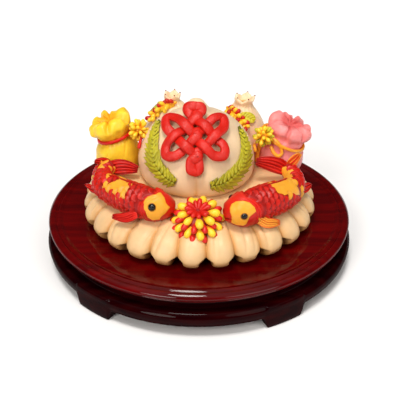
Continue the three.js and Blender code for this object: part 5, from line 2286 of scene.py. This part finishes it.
# ---------------------------------------------------------------- the whole
KOI_LEFT = Koi(
    side=Side.LEFT,
    line=((-29, -79.5, 98), (-37, -81, 101), (-46, -81, 103), (-63, -72.5, 103), (-85, -53, 101),
          (-101, -35, 98.5), (-106.5, -17, 97.5), (-105.5, -2, 100), (-98.5, 4.5, 103)),
    girths=(8.5, 13.5, 16.6, 17.2, 16.2, 13.6, 11.8, 10.4, 8.4),
    tails=(Blade(((-99, 4, 103), (-106, 3, 108), (-116, 1, 110.5)), 5.5, 4, RED, RED_DARK, 3),
           Blade(((-100, 4, 101), (-91, 2, 102.5), (-81, 1, 102.5), (-69, 0, 100.5)), 9, 4, RED,
                 RED_DARK)),
    front_fin=Blade(((-64, -90, 97.5), (-76, -89, 92.5), (-90, -83, 90)), 5.5, 2.2, RED, RED_DARK, 5),
    side_fin=Blade(((-111, -31, 92), (-118, -25, 90), (-125, -15, 89.5)), 4.5, 2.2, RED, RED_DARK, 3),
    front_slot=Slot.RED,
    eye_spots=((1.97, -0.88, 0.38), (2.1, 0.86, 0.3)),
    outer=-1,
    face=Patch(((-63.3, -9.5), (-63.8, -2.7), (-60.5, 3.9), (-53.8, 6.6), (-45, 7.2), (-41.1, 1.7), (-39.4,
          -3.9), (-34.9, -8.4), (-39.4, -13.8), (-45, -18.3), (-46, -20.6), (-53.8, -21.4), (-59.4, -18.3)),
          ragged=0.2),
    patches=(
        Patch(((-103.8, 18.9), (-95, 22.8), (-83.9, 23.3), (-76.1, 18.9), (-79.4, 15), (-86, 11.7),
              (-87.2, 3.9), (-92.7, -3.9), (-98.3, 1.7), (-99.3, 7.2), (-106.1, 10.5), (-111.5, 11.7),
              (-111.5, 16.1), (-107.7, 16.7)), smooth_above=15.0),
        Patch(((-99.3, 38.3), (-94.4, 38.9), (-96.1, 32.7), (-99.9, 26.1), (-102.5, 27.2), (-101.6,
              33.3))),
        Patch(((-104.9, 47.6), (-109.4, 45.8), (-115.3, 39.5), (-119.9, 31.7), (-122.4, 24), (-120.1,
              23.3), (-117.2, 29.9), (-112.1, 37.8), (-104.3, 44.6)), ragged=0.3),
    ),
    gill=27.0,
)
KOI_RIGHT = Koi(
    side=Side.RIGHT,
    line=((29, -92, 100.5), (37, -91.5, 102), (46, -89.5, 103), (66.5, -77, 103.5), (86, -61, 101.5),
          (99, -43, 99), (104, -24, 98), (102.5, -12, 100), (98, -4, 103.5)),
    girths=(9.5, 14.5, 17.6, 18, 16.8, 14.2, 12, 10.4, 8.6),
    tails=(Blade(((99, -5, 102), (90, -6, 107.5), (77, -6, 111.5), (64, -5, 113.5)), 9, 4, RED,
                 RED_DARK),
           Blade(((99, -5, 104), (105, -4, 113), (112, -2, 121)), 6, 4, RED, AMBER, 3)),
    front_fin=Blade(((61, -95, 95), (71, -95, 90), (84, -89, 86.5)), 6, 2.2, AMBER, RED, 5),
    side_fin=Blade(((111, -31, 93), (117, -25, 91), (124, -16, 90)), 6, 2.2, RED, RED_DARK, 3),
    front_slot=Slot.YELLOW,
    eye_spots=((1.05, -0.6, 0.7), (1.67, 0.88, 0.14)),
    outer=1,
    face=Patch(((34.4, -9.5), (36.2, -5.6), (41.1, -2.7), (48.9, -1.7), (56.6, -3.3), (62.2, -8.4), (63.3,
          -12.8), (56.1, -18.3), (52.2, -26.1), (48.9, -27.8), (41.1, -26.7), (35.6, -24.5), (36.2, -18.3),
          (34.4, -13.8)), ragged=0.2),
    patches=(
        Patch(((78.5, 16.5), (85.6, 22.5), (95.5, 25), (106.6, 21.5), (112.5, 14), (114.3, 6),
              (108.8, 5), (100, 6.5), (96.7, 5.5), (88.9, 9), (84.4, 12.8))),
        Patch(((89.5, 36.5), (98.5, 38), (104, 31), (107.5, 24.5), (103.5, 20), (94, 19),
              (95.5, 26.1), (92, 29.4))),
        Patch(((66.7, -19.4), (71.5, -22.3), (66.7, -26.1)), ragged=0.2),
    ),
    gill=29.0,
)
CHRYSANTHEMUM_ROWS = (
    Row(0.12, 1.26, 11, 12.0, 2.7, RED, 0.2), Row(0.5, 1.6, 9, 14.0, 4.1, YELLOW, 0.5),
    Row(0.82, 1.75, 12, 13.0, 3.3, RED, 0.1), Row(1.08, 1.92, 12, 13.5, 3.8, YELLOW, 0.35),
    Row(1.34, 2.02, 13, 12.5, 3.3, RED, 0.15), Row(1.6, 2.15, 13, 11.5, 3.6, YELLOW, 0.3),
    Row(1.86, 2.3, 12, 10.0, 3.1, RED, 0.1),
)
FERN_LEFT = ((-27.5, 20.6), (-36.6, 25.2), (-46.8, 36.6), (-51.6, 50.3), (-51.9, 65.2),
             (-49.3, 78.9), (-45.6, 90.4))
FERN_RIGHT = ((11.4, 17.2), (24, 19.5), (37, 28.6), (46.5, 40), (50, 53.8), (49, 67.5),
              (43.5, 83.5))
# radius and line of each ribbon end, as the viewer sees it
RIBBONS_RED = ((2.1, ((-77.5, 79.5), (-77.3, 75), (-77.3, 70.5))),
               (1.8, ((-72.5, 76.5), (-69.5, 68.5), (-67.5, 59.5))))
RIBBONS_ORANGE = (
    (2.3, ((71, 64), (68.5, 55), (67, 46))),
    (2.0, ((79, 70.4), (84.5, 68.5), (90, 64.5), (93, 59), (93.2, 53.5), (89.5, 50.5), (85, 54),
           (82.3, 60.5))),
    (1.7, ((65, 63.5), (62, 60), (61, 56))),
)
SPRAY_LEFT = ((-29, 113), (-38, 108), (-47, 100), (-53, 92))
SPRAY_RIGHT = ((33, 104), (39, 99), (45, 92), (51.5, 83.5))


def blossom_rows(inner: Array, outer: Array) -> tuple[Row, ...]:
    """The rows of a small blossom, with the colours of its inner and outer petals."""
    return (Row(0.3, 0.6, 3, 7.0, 2.1, inner), Row(0.75, 1.2, 6, 8.5, 2.3, inner, 0.4),
            Row(1.2, 1.6, 8, 8.6, 2.3, outer, 0.1), Row(1.6, 2.0, 8, 7.5, 2.2, inner, 0.5))


def build_centrepiece() -> None:
    """Builds every piece, from the stand up."""
    finishes, placing = Finishes(), Placing()
    Stand().build(finishes)
    BaseBun().build(finishes)
    peach = PeachBun().clay()
    dressed(peach.piece("longevity_peach", finishes[Slot.CREAM]), Slot.CREAM, "peach_bun")
    fruits = {
        Side.LEFT: Pomegranate(Side.LEFT, -32, 84, 0.5, 35, 9.8, 156).build(finishes, placing),
        Side.RIGHT: Pomegranate(Side.RIGHT, 46, 84, 8, 34, 12, 152).build(finishes, placing),
    }
    bags = {
        Side.LEFT: MoneyBag(
            "yellow", x=-93.5, y=40, girth=25.4, neck=18, top=22.5, band=43, lean=-2.3, tilt=-0.34,
            knobs=((15, 32, 2, 5), (75, 20, 1, 1), (110, 20, 2, 4), (150, 22, 2.5, 2.5),
                   (190, 20, 4.5, 0), (238, 24, 2.5, 3), (300, 35, 0, 1.5)),
            slot=Slot.YELLOW, tint=YELLOW, shade=YELLOW_DARK, band_name="red",
            band_slot=Slot.RED, band_tint=RED).build(finishes),
        Side.RIGHT: MoneyBag(
            "pink", x=92.3, y=43, girth=28.6, neck=23.5, top=23.5, band=36.5, lean=4.5, tilt=0.42,
            knobs=((142, 28, 2.5, 3.5), (95, 22, 2, 3.5), (55, 22, 2, 5), (12, 24, 4, 3.5),
                   (335, 24, 4.5, 3.5), (290, 24, 1, 1.5), (235, 26, 0, 0.5)),
            slot=Slot.PINK, tint=PINK, shade=PINK_DARK, band_name="orange",
            band_slot=Slot.YELLOW, band_tint=ORANGE).build(finishes),
    }
    for koi in (KOI_LEFT, KOI_RIGHT):
        koi.build(finishes, placing)
    for name, side, ribbons, slot, tint in (
            ("red", Side.LEFT, RIBBONS_RED, Slot.RED, RED),
            ("orange", Side.RIGHT, RIBBONS_ORANGE, Slot.YELLOW, ORANGE)):
        sight = Sight(bags[side], peach)
        for i, (radius, line) in enumerate(ribbons, 1):
            Ribbon(f"{name}_{i}", line, slot, tint, radius).build(finishes, sight)
    lean = 0.26  # radians towards the viewer
    Pompon("pompon_flower", np.array([-0.8, -90, 87]), np.array([0, -math.sin(lean), math.cos(lean)]),
           19, CHRYSANTHEMUM_ROWS, RED_DARK).build(finishes, placing, "chrysanthemum")
    on_peach = Sight(peach)
    EndlessKnot().build(finishes, on_peach)
    Fern(Side.LEFT, FERN_LEFT, SEED + 4).build(finishes, placing, on_peach)
    Fern(Side.RIGHT, FERN_RIGHT, SEED + 5).build(finishes, placing, on_peach)
    leaves = {Side.LEFT: ((-56, 98), (-38.5, 108), 5.6), Side.RIGHT: ((45, 95), (61, 90), 6.5)}
    sprays = {Side.LEFT: SPRAY_LEFT, Side.RIGHT: SPRAY_RIGHT}
    for side, (start, end, width) in leaves.items():
        sight = Sight(fruits[side], peach)
        SmallLeaf(side, start, end, width).build(finishes, sight)
        Spray(side, sprays[side]).build(finishes, placing, sight)
    for side, at, facing, outer, seed in (
            (Side.LEFT, (-67.5, 24.0, 137.5), (0.3, -0.8, 0.5), YELLOW, SEED + 2),
            (Side.RIGHT, (73.0, 21.0, 131.5), (-0.3, -0.8, 0.5), LIME, SEED + 3)):
        Pompon(f"bag_blossom_{side.value}", np.array(at), np.array(facing), 5,
               blossom_rows(YELLOW, outer), YELLOW_DARK, seed, 0.3).build(
                   finishes, placing, f"blossom_bag_{side.value}")


def main() -> None:
    """Builds the studio and the centrepiece, and writes how large the result is."""
    logging.basicConfig(level=logging.INFO, format="%(name)s: %(message)s")
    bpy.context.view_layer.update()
    Studio().build()
    build_centrepiece()


if __name__ == "__main__":
    main()
